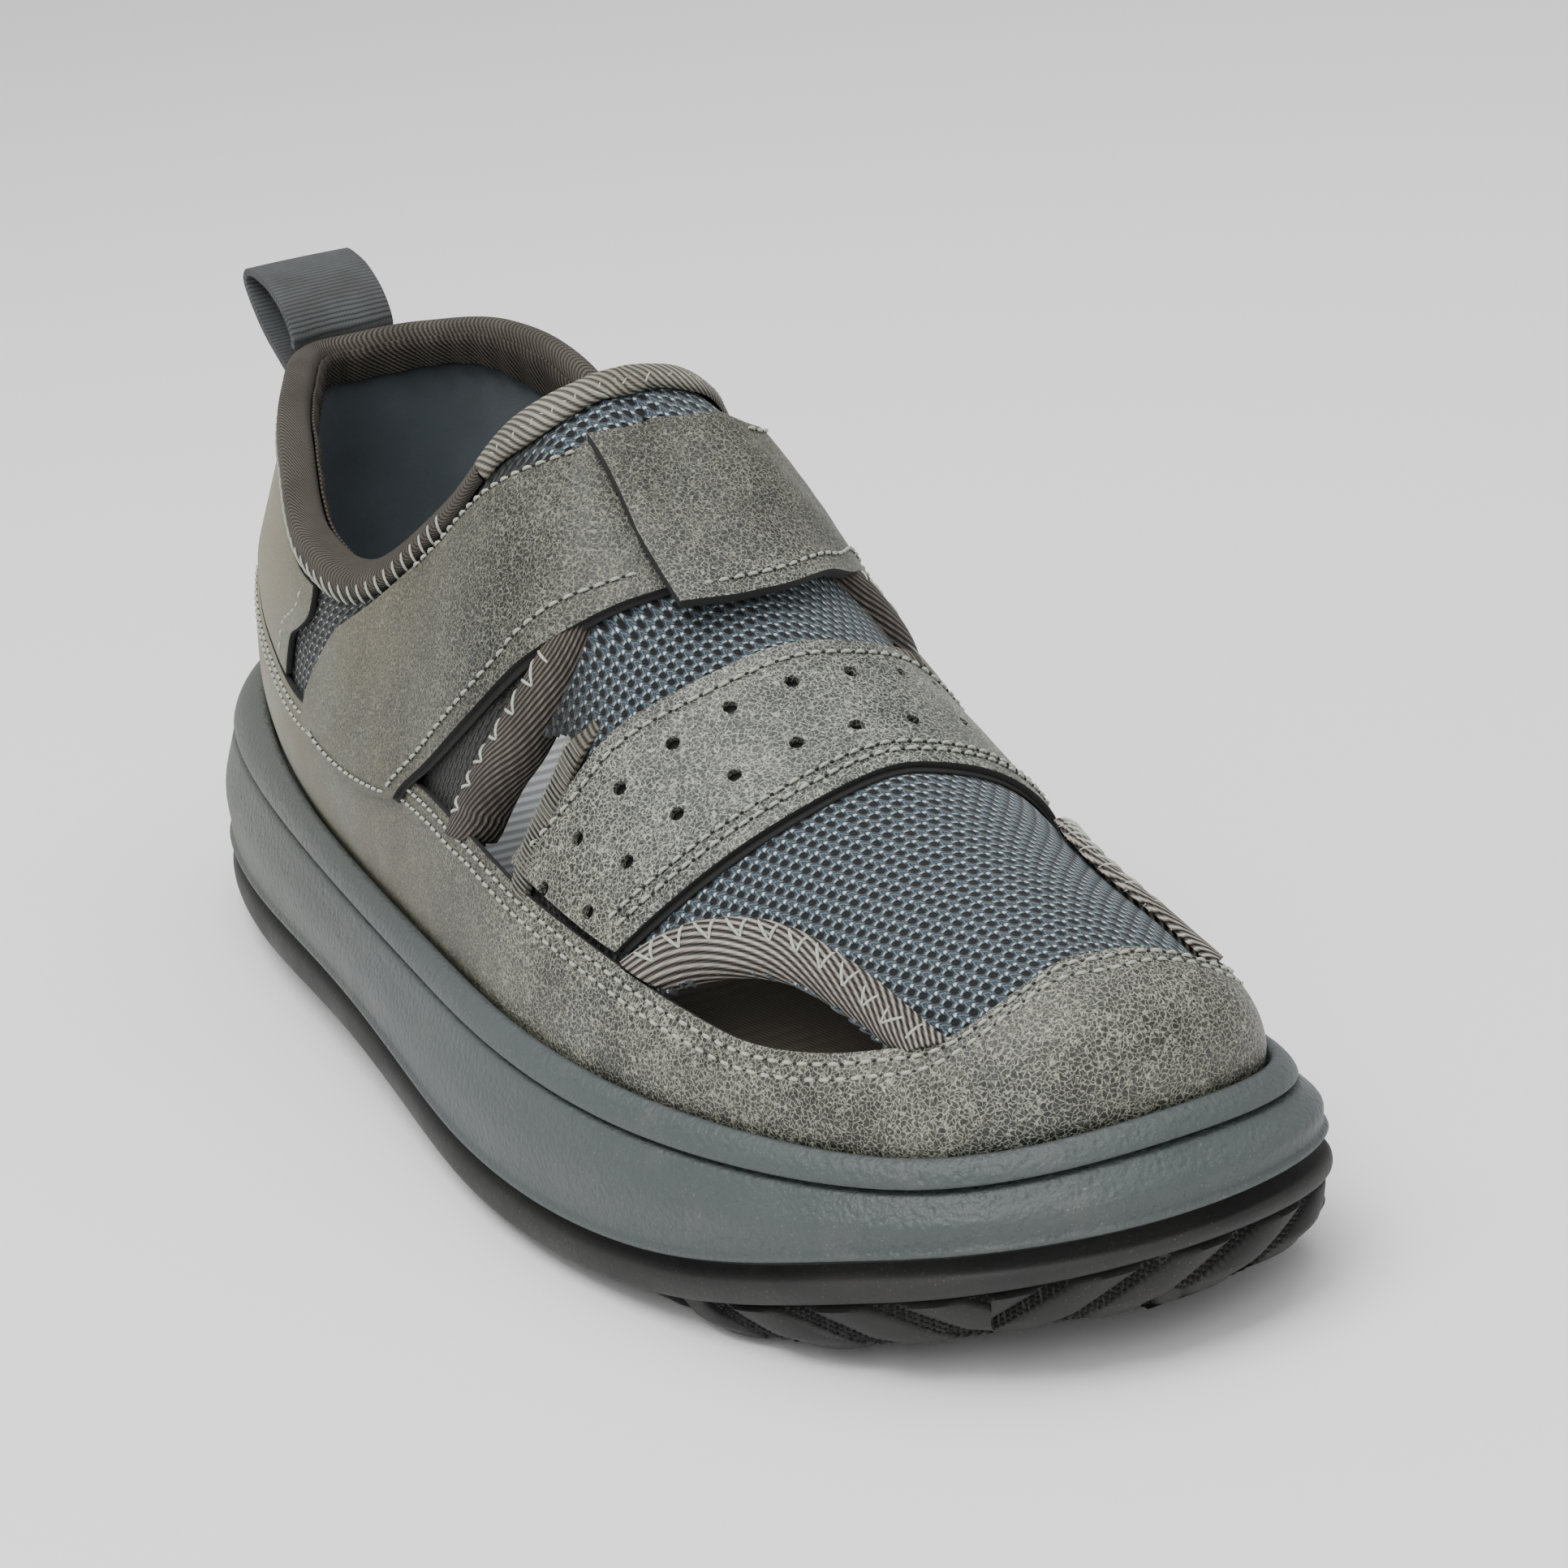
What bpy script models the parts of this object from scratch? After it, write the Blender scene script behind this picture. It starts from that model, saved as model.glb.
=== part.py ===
"""Casual shoe for the right foot.

A foam wedge sole on a rubber cup carries one hollow upper. Leather panels,
straps and folded bindings lie over the upper, and a webbing loop stands at the
heel. +Y points to the toe, +X to the outer side of the foot and +Z up. The
origin is the middle of the heel's rest on the ground.
"""
import bmesh
import bpy
import numpy as np

MM = 0.001

# Sizes of the shoe
SOLE_LENGTH = 0.286
BALL_WIDTH = 0.107
HEEL_STACK = 0.0456
INSTEP_HEIGHT = 0.117
HEEL_REST_AT = 0.055

# Walls and clearances
UPPER_WALL = 1.8 * MM
LEATHER = 1.25 * MM
STRAP_END = 2.0 * MM
LAYER_GAP = 0.5 * MM
SEAT_GAP = 0.35 * MM
EDGE_GAP = 0.6 * MM
FOOT_SINK = 3.0 * MM
RIM_INSET = 7.4 * MM
INSOLE_THICKNESS = 4.0 * MM
BINDING_FOLD = 1.3 * MM

# Side of the sole
GROOVE_INSET = 2.4 * MM
GROOVE_DEPTH = 1.3 * MM
GROOVE_HALF = 0.7 * MM
LIP_OUT = 1.2 * MM
BAND_OUT = 1.6 * MM
BAND_STEP = 2.2 * MM
LUG_INSET = 3.0 * MM
LUG_ROOT = 1.5 * MM

# Pull loop
LOOP_WIDTH = 0.020
LOOP_RISE = 0.0135
LOOP_BACK = 0.0165
LOOP_WEB = 1.5 * MM

# Meshing
SIDE_COLUMNS = 28
COLLAR_COLUMNS = 13
TONGUE_COLUMNS = 5
VAMP_COLUMNS = 15
UPPER_ROWS = 12
MUDGUARD_ROWS = 10

# Outline of the sole. Columns: share of the length from the heel, lateral and
# medial half width as shares of the ball width.
OUTLINE = [
    (0.00, 0.00, 0.00), (0.03, 0.26, -0.23), (0.12, 0.39, -0.335), (0.23, 0.44, -0.36),
    (0.37, 0.47, -0.38), (0.51, 0.50, -0.45), (0.63, 0.52, -0.44), (0.74, 0.495, -0.43),
    (0.85, 0.41, -0.395), (0.95, 0.25, -0.355), (1.00, -0.07, -0.07)]

# Share of the length where the collar ends and the ridge of the vamp begins
THROAT_AT = 0.57

# Lines that run round the sole. Columns: share of the length, then heights as
# shares of the heel stack: rim, groove, lip, lower edge of the band.
SOLE_LINES = [
    (0.00, 1.00, 0.770, 0.30, 0.070), (0.19, 0.86, 0.715, 0.31, 0.080),
    (0.40, 0.74, 0.640, 0.32, 0.110), (0.61, 0.725, 0.635, 0.235, 0.032),
    (0.79, 0.70, 0.600, 0.25, 0.065), (0.93, 0.71, 0.625, 0.43, 0.250),
    (1.00, 0.78, 0.700, 0.50, 0.350)]

# Underside of the lugs. Columns: share of the length, share of the heel stack.
TREAD = [
    (0.00, 0.040), (0.05, 0.0), (0.28, 0.0), (0.40, 0.055),
    (0.52, 0.0), (0.78, 0.0), (0.90, 0.070), (1.00, 0.200)]

# Top line of the upper: the collar from the heel to the throat, then the ridge
# from the tongue to the toe. Columns: share of the length at the foot, share
# of the length at the top, middle and half width of the opening as shares of
# the ball width, height as a share of the instep height.
TOP_LINE = [
    (0.00, 0.042, 0.000, 0.000, 0.830), (0.03, 0.064, -0.015, 0.122, 0.838),
    (0.10, 0.123, -0.025, 0.212, 0.846), (0.20, 0.197, -0.005, 0.280, 0.805),
    (0.30, 0.279, 0.017, 0.318, 0.705), (0.40, 0.365, 0.008, 0.293, 0.706),
    (0.46, 0.425, 0.000, 0.228, 0.820), (0.52, 0.472, 0.008, 0.138, 0.950),
    (0.548, 0.494, 0.012, 0.074, 0.988), (0.57, 0.503, 0.016, 0.000, 1.000),
    (0.63, 0.572, 0.018, 0.000, 0.865), (0.72, 0.685, -0.006, 0.000, 0.685),
    (0.82, 0.784, -0.040, 0.000, 0.577), (0.92, 0.866, -0.068, 0.000, 0.510),
    (1.00, 0.916, -0.072, 0.000, 0.473)]

# Side wall of the upper. Columns: share of the length, inset of the foot and
# outward bulge as shares of the ball width, rise of the wall as a share of the
# instep height, share of the crown, lean of the top as a share of the instep
# height, reach of the crown down the ridge as a share of the sole length.
WALL = [
    (0.00, 0.033, 0.047, 0.222, 0.00, -0.154, 0.0), (0.10, 0.028, 0.047, 0.214, 0.02, -0.137, 0.0),
    (0.30, 0.000, 0.042, 0.162, 0.08, -0.094, 0.0), (0.44, 0.000, 0.037, 0.179, 0.28, -0.060, 0.003),
    (0.52, 0.000, 0.031, 0.200, 0.42, -0.025, 0.022), (0.57, 0.000, 0.028, 0.214, 0.50, -0.010, 0.036),
    (0.64, 0.000, 0.026, 0.196, 0.51, -0.014, 0.014), (0.75, 0.000, 0.023, 0.162, 0.53, -0.018, 0.0),
    (0.90, 0.000, 0.028, 0.132, 0.55, -0.014, 0.0), (1.00, 0.000, 0.031, 0.124, 0.60, -0.009, 0.0)]
RIDGE_FALL = 0.8

# Upper edge of the mudguard. Columns: share of the length, lateral and medial
# height as shares of the wall's height.
MUDGUARD = [
    (0.00, 0.40, 0.40), (0.25, 0.37, 0.37), (0.34, 0.41, 0.41), (0.42, 0.385, 0.385),
    (0.50, 0.315, 0.32), (0.567, 0.272, 0.28), (0.626, 0.28, 0.285), (0.734, 0.305, 0.305),
    (0.79, 0.298, 0.30), (0.846, 0.293, 0.30), (0.885, 0.33, 0.325), (0.915, 0.385, 0.36),
    (0.95, 0.49, 0.45), (0.965, 0.62, 0.55), (0.977, 0.75, 0.68), (1.00, 0.87, 0.87)]

# Inner edge of the collar binding. Columns: share of the length, height.
COLLAR_EDGE = [(0.00, 0.91), (0.10, 0.885), (0.25, 0.855), (0.40, 0.875), (0.478, 0.90)]

# Front edge of the heel counter. Columns: height within it, share of the length.
COUNTER_EDGE = [(0.00, 0.252), (0.25, 0.262), (0.75, 0.303), (1.00, 0.314)]

# Upper edge of the front window. Columns: share of the length, height.
WINDOW_ARC = [
    (0.764, 0.305), (0.788, 0.382), (0.819, 0.452), (0.851, 0.478),
    (0.890, 0.452), (0.912, 0.415), (0.922, 0.405)]

# Waist gap. Columns: height, share of the length at its rear and front edge.
WAIST_GAP = [(0.24, 0.588, 0.619), (0.30, 0.597, 0.6215), (0.38, 0.6125, 0.6255), (0.46, 0.6245, 0.6305)]

# Panels and bindings. Columns: share of the length and position across the
# shell (0 lateral foot, 1 ridge, 2 medial foot) at the first edge and at the
# second edge, lift over the shell in mm.
FOREFOOT_STRAP = [
    (0.6235, 0.305, 0.734, 0.322, 0), (0.6565, 0.462, 0.755, 0.47, 0), (0.668, 0.60, 0.772, 0.63, 0),
    (0.690, 0.765, 0.786, 0.80, 0), (0.704, 1.00, 0.793, 1.00, 0), (0.694, 1.20, 0.789, 1.18, 0),
    (0.672, 1.38, 0.772, 1.37, 0), (0.6565, 1.538, 0.755, 1.53, 0), (0.6235, 1.695, 0.734, 1.678, 0)]
ANKLE_STRAP = [
    (0.312, 0.36, 0.462, 0.285, 1.75), (0.318, 0.46, 0.478, 0.325, 1.75),
    (0.336, 0.64, 0.508, 0.365, 0.6), (0.370, 0.785, 0.556, 0.452, 0.5), (0.430, 0.842, 0.594, 0.553, 0.5),
    (0.485, 0.815, 0.621, 0.668, 0.5), (0.525, 0.812, 0.642, 0.774, 0.5), (0.562, 0.83, 0.654, 0.85, 0.3),
    (0.588, 0.93, 0.662, 0.94, 0.1)]
CLOSURE_STRAP = [
    (0.568, 0.854, 0.668, 0.849, 2.85), (0.587, 0.925, 0.681, 0.95, 2.8), (0.599, 1.01, 0.682, 1.04, 2.5),
    (0.588, 1.11, 0.668, 1.16, 2.4), (0.566, 1.18, 0.650, 1.25, 2.0), (0.553, 1.225, 0.634, 1.33, 1.4),
    (0.530, 1.215, 0.612, 1.40, 0.9), (0.488, 1.185, 0.589, 1.47, 0.75), (0.430, 1.158, 0.556, 1.57, 0.75),
    (0.372, 1.215, 0.508, 1.635, 0.9), (0.332, 1.42, 0.478, 1.676, 2.65), (0.318, 1.62, 0.463, 1.715, 2.65)]
WINDOW_BINDING = [
    (0.768, 0.318, 0.742, 0.322), (0.790, 0.393, 0.765, 0.440), (0.821, 0.464, 0.797, 0.528),
    (0.852, 0.490, 0.836, 0.580), (0.891, 0.466, 0.886, 0.568), (0.913, 0.430, 0.926, 0.512)]
QUARTER_BINDING = [
    (0.560, 0.290, 0.5935, 0.292), (0.580, 0.375, 0.6105, 0.372), (0.594, 0.455, 0.6225, 0.452),
    (0.611, 0.550, 0.630, 0.553), (0.6245, 0.655, 0.635, 0.663)]
VAMP_BINDING = [
    (0.6275, 0.40, 0.6335, 0.40), (0.633, 0.46, 0.651, 0.46), (0.639, 0.54, 0.658, 0.54),
    (0.645, 0.61, 0.665, 0.61)]
TONGUE_EDGE = [
    (0.505, 0.885, 0.491, 1.0), (0.528, 0.885, 0.508, 1.0), (0.547, 0.905, 0.526, 1.0),
    (0.566, 0.935, 0.545, 1.0), (0.580, 0.965, 0.560, 1.0), (0.587, 1.0, 0.570, 1.0)]

# Lugs. Columns: share of the length where each one starts and ends.
SIDE_LUGS = [
    (0.030, 0.070), (0.085, 0.130), (0.145, 0.190), (0.205, 0.245), (0.260, 0.300),
    (0.500, 0.540), (0.555, 0.600), (0.615, 0.660), (0.675, 0.720), (0.735, 0.780),
    (0.795, 0.840), (0.855, 0.895), (0.908, 0.938), (0.948, 0.975)]
CENTRE_LUGS = [
    (0.065, 0.115), (0.130, 0.255), (0.270, 0.310), (0.500, 0.545), (0.560, 0.605),
    (0.618, 0.672), (0.685, 0.730), (0.745, 0.790), (0.805, 0.845), (0.858, 0.895)]


def param(share):
    """Parameter, 0 at the heel and 1 at the toe, of a share of the length."""
    return np.arccos(np.clip(1 - 2 * np.asarray(share, float), -1, 1)) / np.pi


def share_of(p):
    """Share of the length at a parameter."""
    return (1 - np.cos(np.pi * np.asarray(p, float))) / 2


def hermite(xs, ys, x, open_start=False):
    """Smooth curve through rows, level at its ends unless the start is open."""
    x = np.clip(np.asarray(x, float), xs[0], xs[-1])
    h = np.diff(xs)
    d = np.diff(ys) / h
    mid = (d[:-1] * h[1:] + d[1:] * h[:-1]) / (h[:-1] + h[1:])
    m = np.concatenate([[d[0] if open_start else 0.0], mid, [0.0]])
    i = np.clip(np.searchsorted(xs, x, side="right") - 1, 0, len(h) - 1)
    t = (x - xs[i]) / h[i]
    rise = (2 * t ** 3 - 3 * t ** 2 + 1) * ys[i] + (3 * t ** 2 - 2 * t ** 3) * ys[i + 1]
    turn = (t ** 3 - 2 * t ** 2 + t) * m[i] + (t ** 3 - t ** 2) * m[i + 1]
    return rise + turn * h[i]


def column(table, k, p, open_start=False):
    """One column of a table of sections, read smoothly at a parameter."""
    rows = np.array(table, float)
    return hermite(param(rows[:, 0]), rows[:, k], np.clip(p, 0, 1), open_start)


def closed_spline(knots, values, t):
    """Cubic spline that closes on itself after a period of 2."""
    n = len(knots)
    h = np.diff(np.append(knots, knots[0] + 2.0))
    a, b = np.zeros((n, n)), np.zeros(n)
    for i in range(n):
        j = (i + 1) % n
        a[i, i - 1] += h[i - 1]
        a[i, i] += 2 * (h[i - 1] + h[i])
        a[i, j] += h[i]
        b[i] = 6 * ((values[j] - values[i]) / h[i] - (values[i] - values[i - 1]) / h[i - 1])
    m = np.linalg.solve(a, b)
    t = np.mod(np.asarray(t, float) - knots[0], 2.0) + knots[0]
    i = np.clip(np.searchsorted(knots, t, side="right") - 1, 0, n - 1)
    j, u, w = (i + 1) % n, t - knots[i], h[i]
    cubic = (m[i] * (w - u) ** 3 + m[j] * u ** 3) / (6 * w)
    return cubic + (values[i] / w - m[i] * w / 6) * (w - u) + (values[j] / w - m[j] * w / 6) * u


def along(p):
    return SOLE_LENGTH * share_of(p) - HEEL_REST_AT


def outline(t):
    """Plan of the sole: t runs 0 to 1 on the lateral side and 1 to 2 back."""
    rows = np.array(OUTLINE)
    knots = np.concatenate([param(rows[:, 0]), 2 - param(rows[-2:0:-1, 0])])
    half = np.concatenate([rows[:, 1], rows[-2:0:-1, 2]]) * BALL_WIDTH
    t = np.mod(np.asarray(t, float), 2.0)
    return np.stack([closed_spline(knots, half, t), along(np.minimum(t, 2 - t))], -1)


def outward(t):
    d = outline(np.asarray(t) + 1e-4) - outline(np.asarray(t) - 1e-4)
    d /= np.linalg.norm(d, axis=-1, keepdims=True)
    return np.stack([d[..., 1], -d[..., 0]], -1)


def to_p(t):
    t = np.mod(np.asarray(t, float), 2.0)
    return np.minimum(t, 2 - t)


def sole_height(k, t):
    return column(SOLE_LINES, k, to_p(t)) * HEEL_STACK


def tread_height(share):
    rows = np.array(TREAD)
    return max(0.0, float(hermite(rows[:, 0], rows[:, 1], share))) * HEEL_STACK


def foot_inset(t):
    return RIM_INSET + column(WALL, 1, to_p(t)) * BALL_WIDTH


def wall_slope(t):
    p = to_p(t)
    return column(WALL, 2, p) * BALL_WIDTH / (column(WALL, 3, p) * INSTEP_HEIGHT)


def shell(p, q):
    """Outer face of the upper: p runs heel to toe, q runs over the foot."""
    p, q = np.broadcast_arrays(np.asarray(p, float), np.asarray(q, float))
    lateral = q <= 1
    v = np.where(lateral, q, 2 - q)[..., None]
    t = np.where(lateral, p, 2 - p)
    n = outward(t)
    foot = outline(t) - n * foot_inset(t)[..., None]
    p0 = np.concatenate([foot, (sole_height(1, t) - FOOT_SINK)[..., None]], -1)
    opening = np.maximum(column(TOP_LINE, 3, p, True), 0.0)
    side = column(TOP_LINE, 2, p) + np.where(lateral, opening, -opening)
    ahead = column(TOP_LINE, 1, p) * SOLE_LENGTH - HEEL_REST_AT
    p3 = np.stack([side * BALL_WIDTH, ahead, column(TOP_LINE, 4, p) * INSTEP_HEIGHT], -1)
    bulge = column(WALL, 2, p)[..., None] * BALL_WIDTH
    rise = column(WALL, 3, p)[..., None] * INSTEP_HEIGHT
    lean = column(WALL, 5, p)[..., None] * INSTEP_HEIGHT
    n3 = np.concatenate([n, 0 * n[..., :1]], -1)
    up = np.array([0.0, 0.0, 1.0])
    p1 = p0 + n3 * bulge + up * rise
    flat = (p0 - p3) * np.array([1.0, 1.0, 0.0])
    ridge = np.array([0.0, 1.0, -RIDGE_FALL])
    p2 = p3 + flat * column(WALL, 4, p)[..., None] + up * lean
    p2 = p2 + ridge * column(WALL, 6, p)[..., None] * SOLE_LENGTH
    return (1 - v) ** 3 * p0 + 3 * (1 - v) ** 2 * v * p1 + 3 * (1 - v) * v * v * p2 + v ** 3 * p3


def half_columns():
    """Columns of the upper: heel to tongue, tongue to throat, throat to toe."""
    tongue, throat = float(param(COLLAR_EDGE[-1][0])), float(param(THROAT_AT))
    u = np.linspace(0, 1, VAMP_COLUMNS + 1)[1:]
    return np.concatenate([
        np.linspace(0, tongue, COLLAR_COLUMNS + 1),
        np.linspace(tongue, throat, TONGUE_COLUMNS + 1)[1:],
        throat + (1 - throat) * u ** 1.15])


def shell_normal(p, q):
    p, q = np.broadcast_arrays(np.asarray(p, float), np.asarray(q, float))
    p = np.clip(p, 0.0, 0.985)
    e = 1e-3
    a = shell(np.clip(p + e, 0, 1), q) - shell(np.clip(p - e, 0, 1), q)
    joined = share_of(p) >= THROAT_AT - 1e-4
    lo = np.where((q > 1) & ~joined, 1 + 1e-7, 0)
    hi = np.where((q <= 1) & ~joined, 1, 2)
    b = shell(p, np.clip(q + e, lo, hi)) - shell(p, np.clip(q - e, lo, hi))
    n = np.cross(a, b)
    return n / (np.linalg.norm(n, axis=-1, keepdims=True) + 1e-12)


def skin(p, q, lift):
    """Point of the shell moved outward by lift."""
    lift = np.asarray(lift, float)
    return shell(p, q) + shell_normal(p, q) * lift[..., None]


def ring_skin(t, v, lift):
    """The same, with t round the foot (0 to 2) and v up the wall."""
    t = np.mod(np.asarray(t, float), 2.0)
    medial = t > 1
    return skin(np.where(medial, 2 - t, t), np.where(medial, 2 - v + 1e-7, v), lift)


def mudguard_top(t):
    t = np.mod(np.asarray(t, float), 2.0)
    return np.where(t > 1, column(MUDGUARD, 2, to_p(t)), column(MUDGUARD, 1, to_p(t)))


def wall_share(length, t):
    """Share of the wall's height that a length covers, near the foot."""
    p = to_p(t)
    a, b = shell(p, 0.30 + 0 * p), shell(p, 0.40 + 0 * p)
    return 0.10 * length / np.linalg.norm(b - a, axis=-1)


def material(name, color, roughness):
    mat = bpy.data.materials.new(name)
    mat.use_nodes = True
    shader = mat.node_tree.nodes["Principled BSDF"]
    shader.inputs["Base Color"].default_value = (*color, 1.0)
    shader.inputs["Roughness"].default_value = roughness
    shader.inputs["Metallic"].default_value = 0.0
    return mat


def add_object(name, points, faces, mat, where, outward_faces=True):
    mesh = bpy.data.meshes.new(name)
    mesh.from_pydata([tuple(c) for c in np.asarray(points)], [], faces)
    work = bmesh.new()
    work.from_mesh(mesh)
    bmesh.ops.remove_doubles(work, verts=work.verts, dist=0.00002)
    if outward_faces:
        bmesh.ops.recalc_face_normals(work, faces=work.faces)
    work.to_mesh(mesh)
    work.free()
    mesh.materials.append(mat)
    mesh.shade_smooth()
    mesh.set_sharp_from_angle(angle=0.7)
    obj = bpy.data.objects.new(name, mesh)
    where.objects.link(obj)
    return obj


def grid_faces(rows, cols, wrap=False):
    faces = []
    for i in range(rows if wrap else rows - 1):
        for j in range(cols - 1):
            k = (i + 1) % rows
            faces.append((i * cols + j, k * cols + j, k * cols + j + 1, i * cols + j + 1))
    return faces


def thicken(obj, thickness):
    mod = obj.modifiers.new("wall", "SOLIDIFY")
    mod.thickness = thickness
    mod.offset = -1.0
    mod.use_even_offset = False
    mod.use_rim = True
    return obj


def cut(obj, cutter, operation="DIFFERENCE"):
    mod = obj.modifiers.new(operation.lower(), "BOOLEAN")
    mod.operation = operation
    mod.solver = "EXACT"
    mod.object = cutter
    return obj


def sole_solid(name, rings, mat, where):
    """Solid from rings round the outline, capped by rungs across the sole."""
    n = 2 * SIDE_COLUMNS
    t = np.arange(n) / SIDE_COLUMNS
    points = []
    for inset, height in rings:
        xy = outline(t) - outward(t) * (np.zeros(n) + inset)[:, None]
        points.append(np.column_stack([xy, np.zeros(n) + height]))
    faces = []
    for k in range(len(rings) - 1):
        for i in range(n):
            j = (i + 1) % n
            faces.append((k * n + i, k * n + n + i, k * n + n + j, k * n + j))
    for base in (0, (len(rings) - 1) * n):
        half = SIDE_COLUMNS
        faces.append((base, base + 1, base + n - 1))
        faces.append((base + half - 1, base + half, base + half + 1))
        for i in range(1, half - 1):
            faces.append((base + i, base + i + 1, base + n - i - 1, base + n - i))
    return add_object(name, np.concatenate(points), faces, mat, where)


def panel(name, table, mat, where, mirror=False, rows=14, cols=6, thickness=LEATHER):
    """Panel on the shell between two edges given row by row."""
    data = np.array(table, float)
    if mirror:
        data[:, 1], data[:, 3] = 2 - data[:, 1] + 1e-7, 2 - data[:, 3] + 1e-7
    lift = data[:, 4] * MM if data.shape[1] > 4 else np.zeros(len(data))
    marks = np.linspace(0, 1, len(data))
    u = np.linspace(0, 1, rows)
    first_p, first_q = [hermite_open(marks, c, u) for c in (param(data[:, 0]), data[:, 1])]
    second_p, second_q = [hermite_open(marks, c, u) for c in (param(data[:, 2]), data[:, 3])]
    w = np.linspace(0, 1, cols)[None, :]
    p = first_p[:, None] * (1 - w) + second_p[:, None] * w
    q = first_q[:, None] * (1 - w) + second_q[:, None] * w
    raised = np.repeat(np.interp(u, marks, lift)[:, None], cols, 1)
    obj = add_object(name, skin(p, q, raised).reshape(-1, 3), grid_faces(rows, cols), mat, where, False)
    face_out(obj, p, q)
    return thicken(obj, thickness)


def hermite_open(xs, ys, x):
    """Smooth curve through rows with open ends."""
    h = np.diff(xs)
    d = np.diff(ys) / h
    mid = (d[:-1] * h[1:] + d[1:] * h[:-1]) / (h[:-1] + h[1:])
    m = np.concatenate([d[:1], mid, d[-1:]])
    i = np.clip(np.searchsorted(xs, x, side="right") - 1, 0, len(h) - 1)
    t = (x - xs[i]) / h[i]
    rise = (2 * t ** 3 - 3 * t ** 2 + 1) * ys[i] + (3 * t ** 2 - 2 * t ** 3) * ys[i + 1]
    return rise + ((t ** 3 - 2 * t ** 2 + t) * m[i] + (t ** 3 - t ** 2) * m[i + 1]) * h[i]


def face_out(obj, p, q):
    """Turn an open panel so that its faces look the way the shell does."""
    mesh = obj.data
    want = shell_normal(np.mean(p), np.mean(q))
    middle = mesh.polygons[len(mesh.polygons) // 2].normal
    if float(np.dot(want, np.array(middle))) < 0:
        mesh.flip_normals()


def folded_binding(name, inner, rim, slack, mat, where):
    """Binding folded over a free edge, as a channel swept along that edge.

    inner and rim hold (p, q) pairs along the binding's inner edge and along
    the free edge; slack is the room behind the wall.
    """
    inner, rim = np.asarray(inner, float), np.asarray(rim, float)
    edge, base = shell(rim[:, 0], rim[:, 1]), shell(inner[:, 0], inner[:, 1])
    ahead = edge - base
    ahead /= np.linalg.norm(ahead, axis=1)[:, None]
    out = shell_normal(rim[:, 0], rim[:, 1] - 0.02 * np.sign(rim[:, 1] - inner[:, 1]))
    face = -(LAYER_GAP + LEATHER)
    back = face - UPPER_WALL
    fold, gap = BINDING_FOLD, SEAT_GAP + 0.45 * slack
    slot = face + LAYER_GAP + 0.2 * slack
    profile = [
        (0.0, 0.0, slot), (0.0, 0.0, -0.2 * LEATHER), (0.30, 0.0, 0.0),
        (0.70, 0.0, 0.0), (1.0, 0.3 * fold, -0.1 * fold), (1.0, gap + fold, face),
        (1.0, gap + fold, back), (1.0, 0.3 * fold, back - slack - 0.9 * fold),
        (0.65, 0.0, back - slack - fold), (0.35, 0.0, back - slack - 0.8 * fold),
        (0.35, 0.0, back - slack), (1.0, gap, back - slack), (1.0, gap, slot), (0.5, 0.0, slot)]
    points = []
    for share, beyond, lift in profile:
        pq = inner + (rim - inner) * share
        if share < 1.0:
            at, n = shell(pq[:, 0], pq[:, 1]), shell_normal(pq[:, 0], pq[:, 1])
        else:
            at, n = edge, out
        points.append(at + n * lift + ahead * beyond)
    pts = np.stack(points, 1)
    rows, cols = pts.shape[:2]
    faces = []
    for i in range(rows - 1):
        for j in range(cols):
            k = (j + 1) % cols
            faces.append((i * cols + j, (i + 1) * cols + j, (i + 1) * cols + k, i * cols + k))
    faces.append(tuple(range(cols)))
    faces.append(tuple((rows - 1) * cols + j for j in range(cols)))
    return add_object(name, pts.reshape(-1, 3), faces, mat, where)


def prism(bottom, top):
    """Closed prism between two polygons of the same number of corners."""
    n = len(bottom)
    faces = [tuple(range(n)), tuple(range(n, 2 * n))]
    faces += [(i, (i + 1) % n, n + (i + 1) % n, n + i) for i in range(n)]
    return list(bottom) + list(top), faces


def lug_plans():
    """Corners of each lug in plan, with the share of the length at each."""
    plans = []
    for start, end in SIDE_LUGS:
        for side in (0, 1):
            t = np.array([param(start), param(end)])
            t = 2 - t if side else t
            edge = outline(t) - outward(t) * LUG_INSET
            lean = -0.020 * SOLE_LENGTH
            inner = edge * np.array([0.46, 1.0]) + np.array([0.0, lean])
            plans.append([edge[0], edge[1], inner[1], inner[0]])
    for start, end in CENTRE_LUGS:
        corners = []
        for share, side in ((start, 0), (end, 0), (end, 1), (start, 1)):
            t = 2 - param(share) if side else param(share)
            corners.append(outline(t) * np.array([0.36, 1.0]))
        plans.append(corners)
    return plans


def lugs(mat, where):
    points, faces = [], []
    for plan in lug_plans():
        low, high = [], []
        for x, y in plan:
            share = np.clip((y + HEEL_REST_AT) / SOLE_LENGTH, 0, 1)
            root = float(column(SOLE_LINES, 4, param(share))) * HEEL_STACK
            low.append((x, y, tread_height(share)))
            high.append((x, y, root + LUG_ROOT))
        more, sides = prism(low, high)
        faces += [tuple(k + len(points) for k in side) for side in sides]
        points += more
    obj = add_object("lug_tool", points, faces, mat, where)
    obj.hide_render = True
    obj.display_type = "WIRE"
    return obj


def opening_tool(name, p, q, mat, where):
    """Curved block through the upper's wall over a patch of the shell."""
    rows, cols = p.shape
    obj = add_object(name, skin(p, q, 0 * p + 1.0 * MM).reshape(-1, 3), grid_faces(rows, cols),
                     mat, where, False)
    face_out(obj, p, q)
    thicken(obj, 2 * (LAYER_GAP + LEATHER + UPPER_WALL))
    obj.hide_render = True
    obj.display_type = "WIRE"
    return obj


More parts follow.
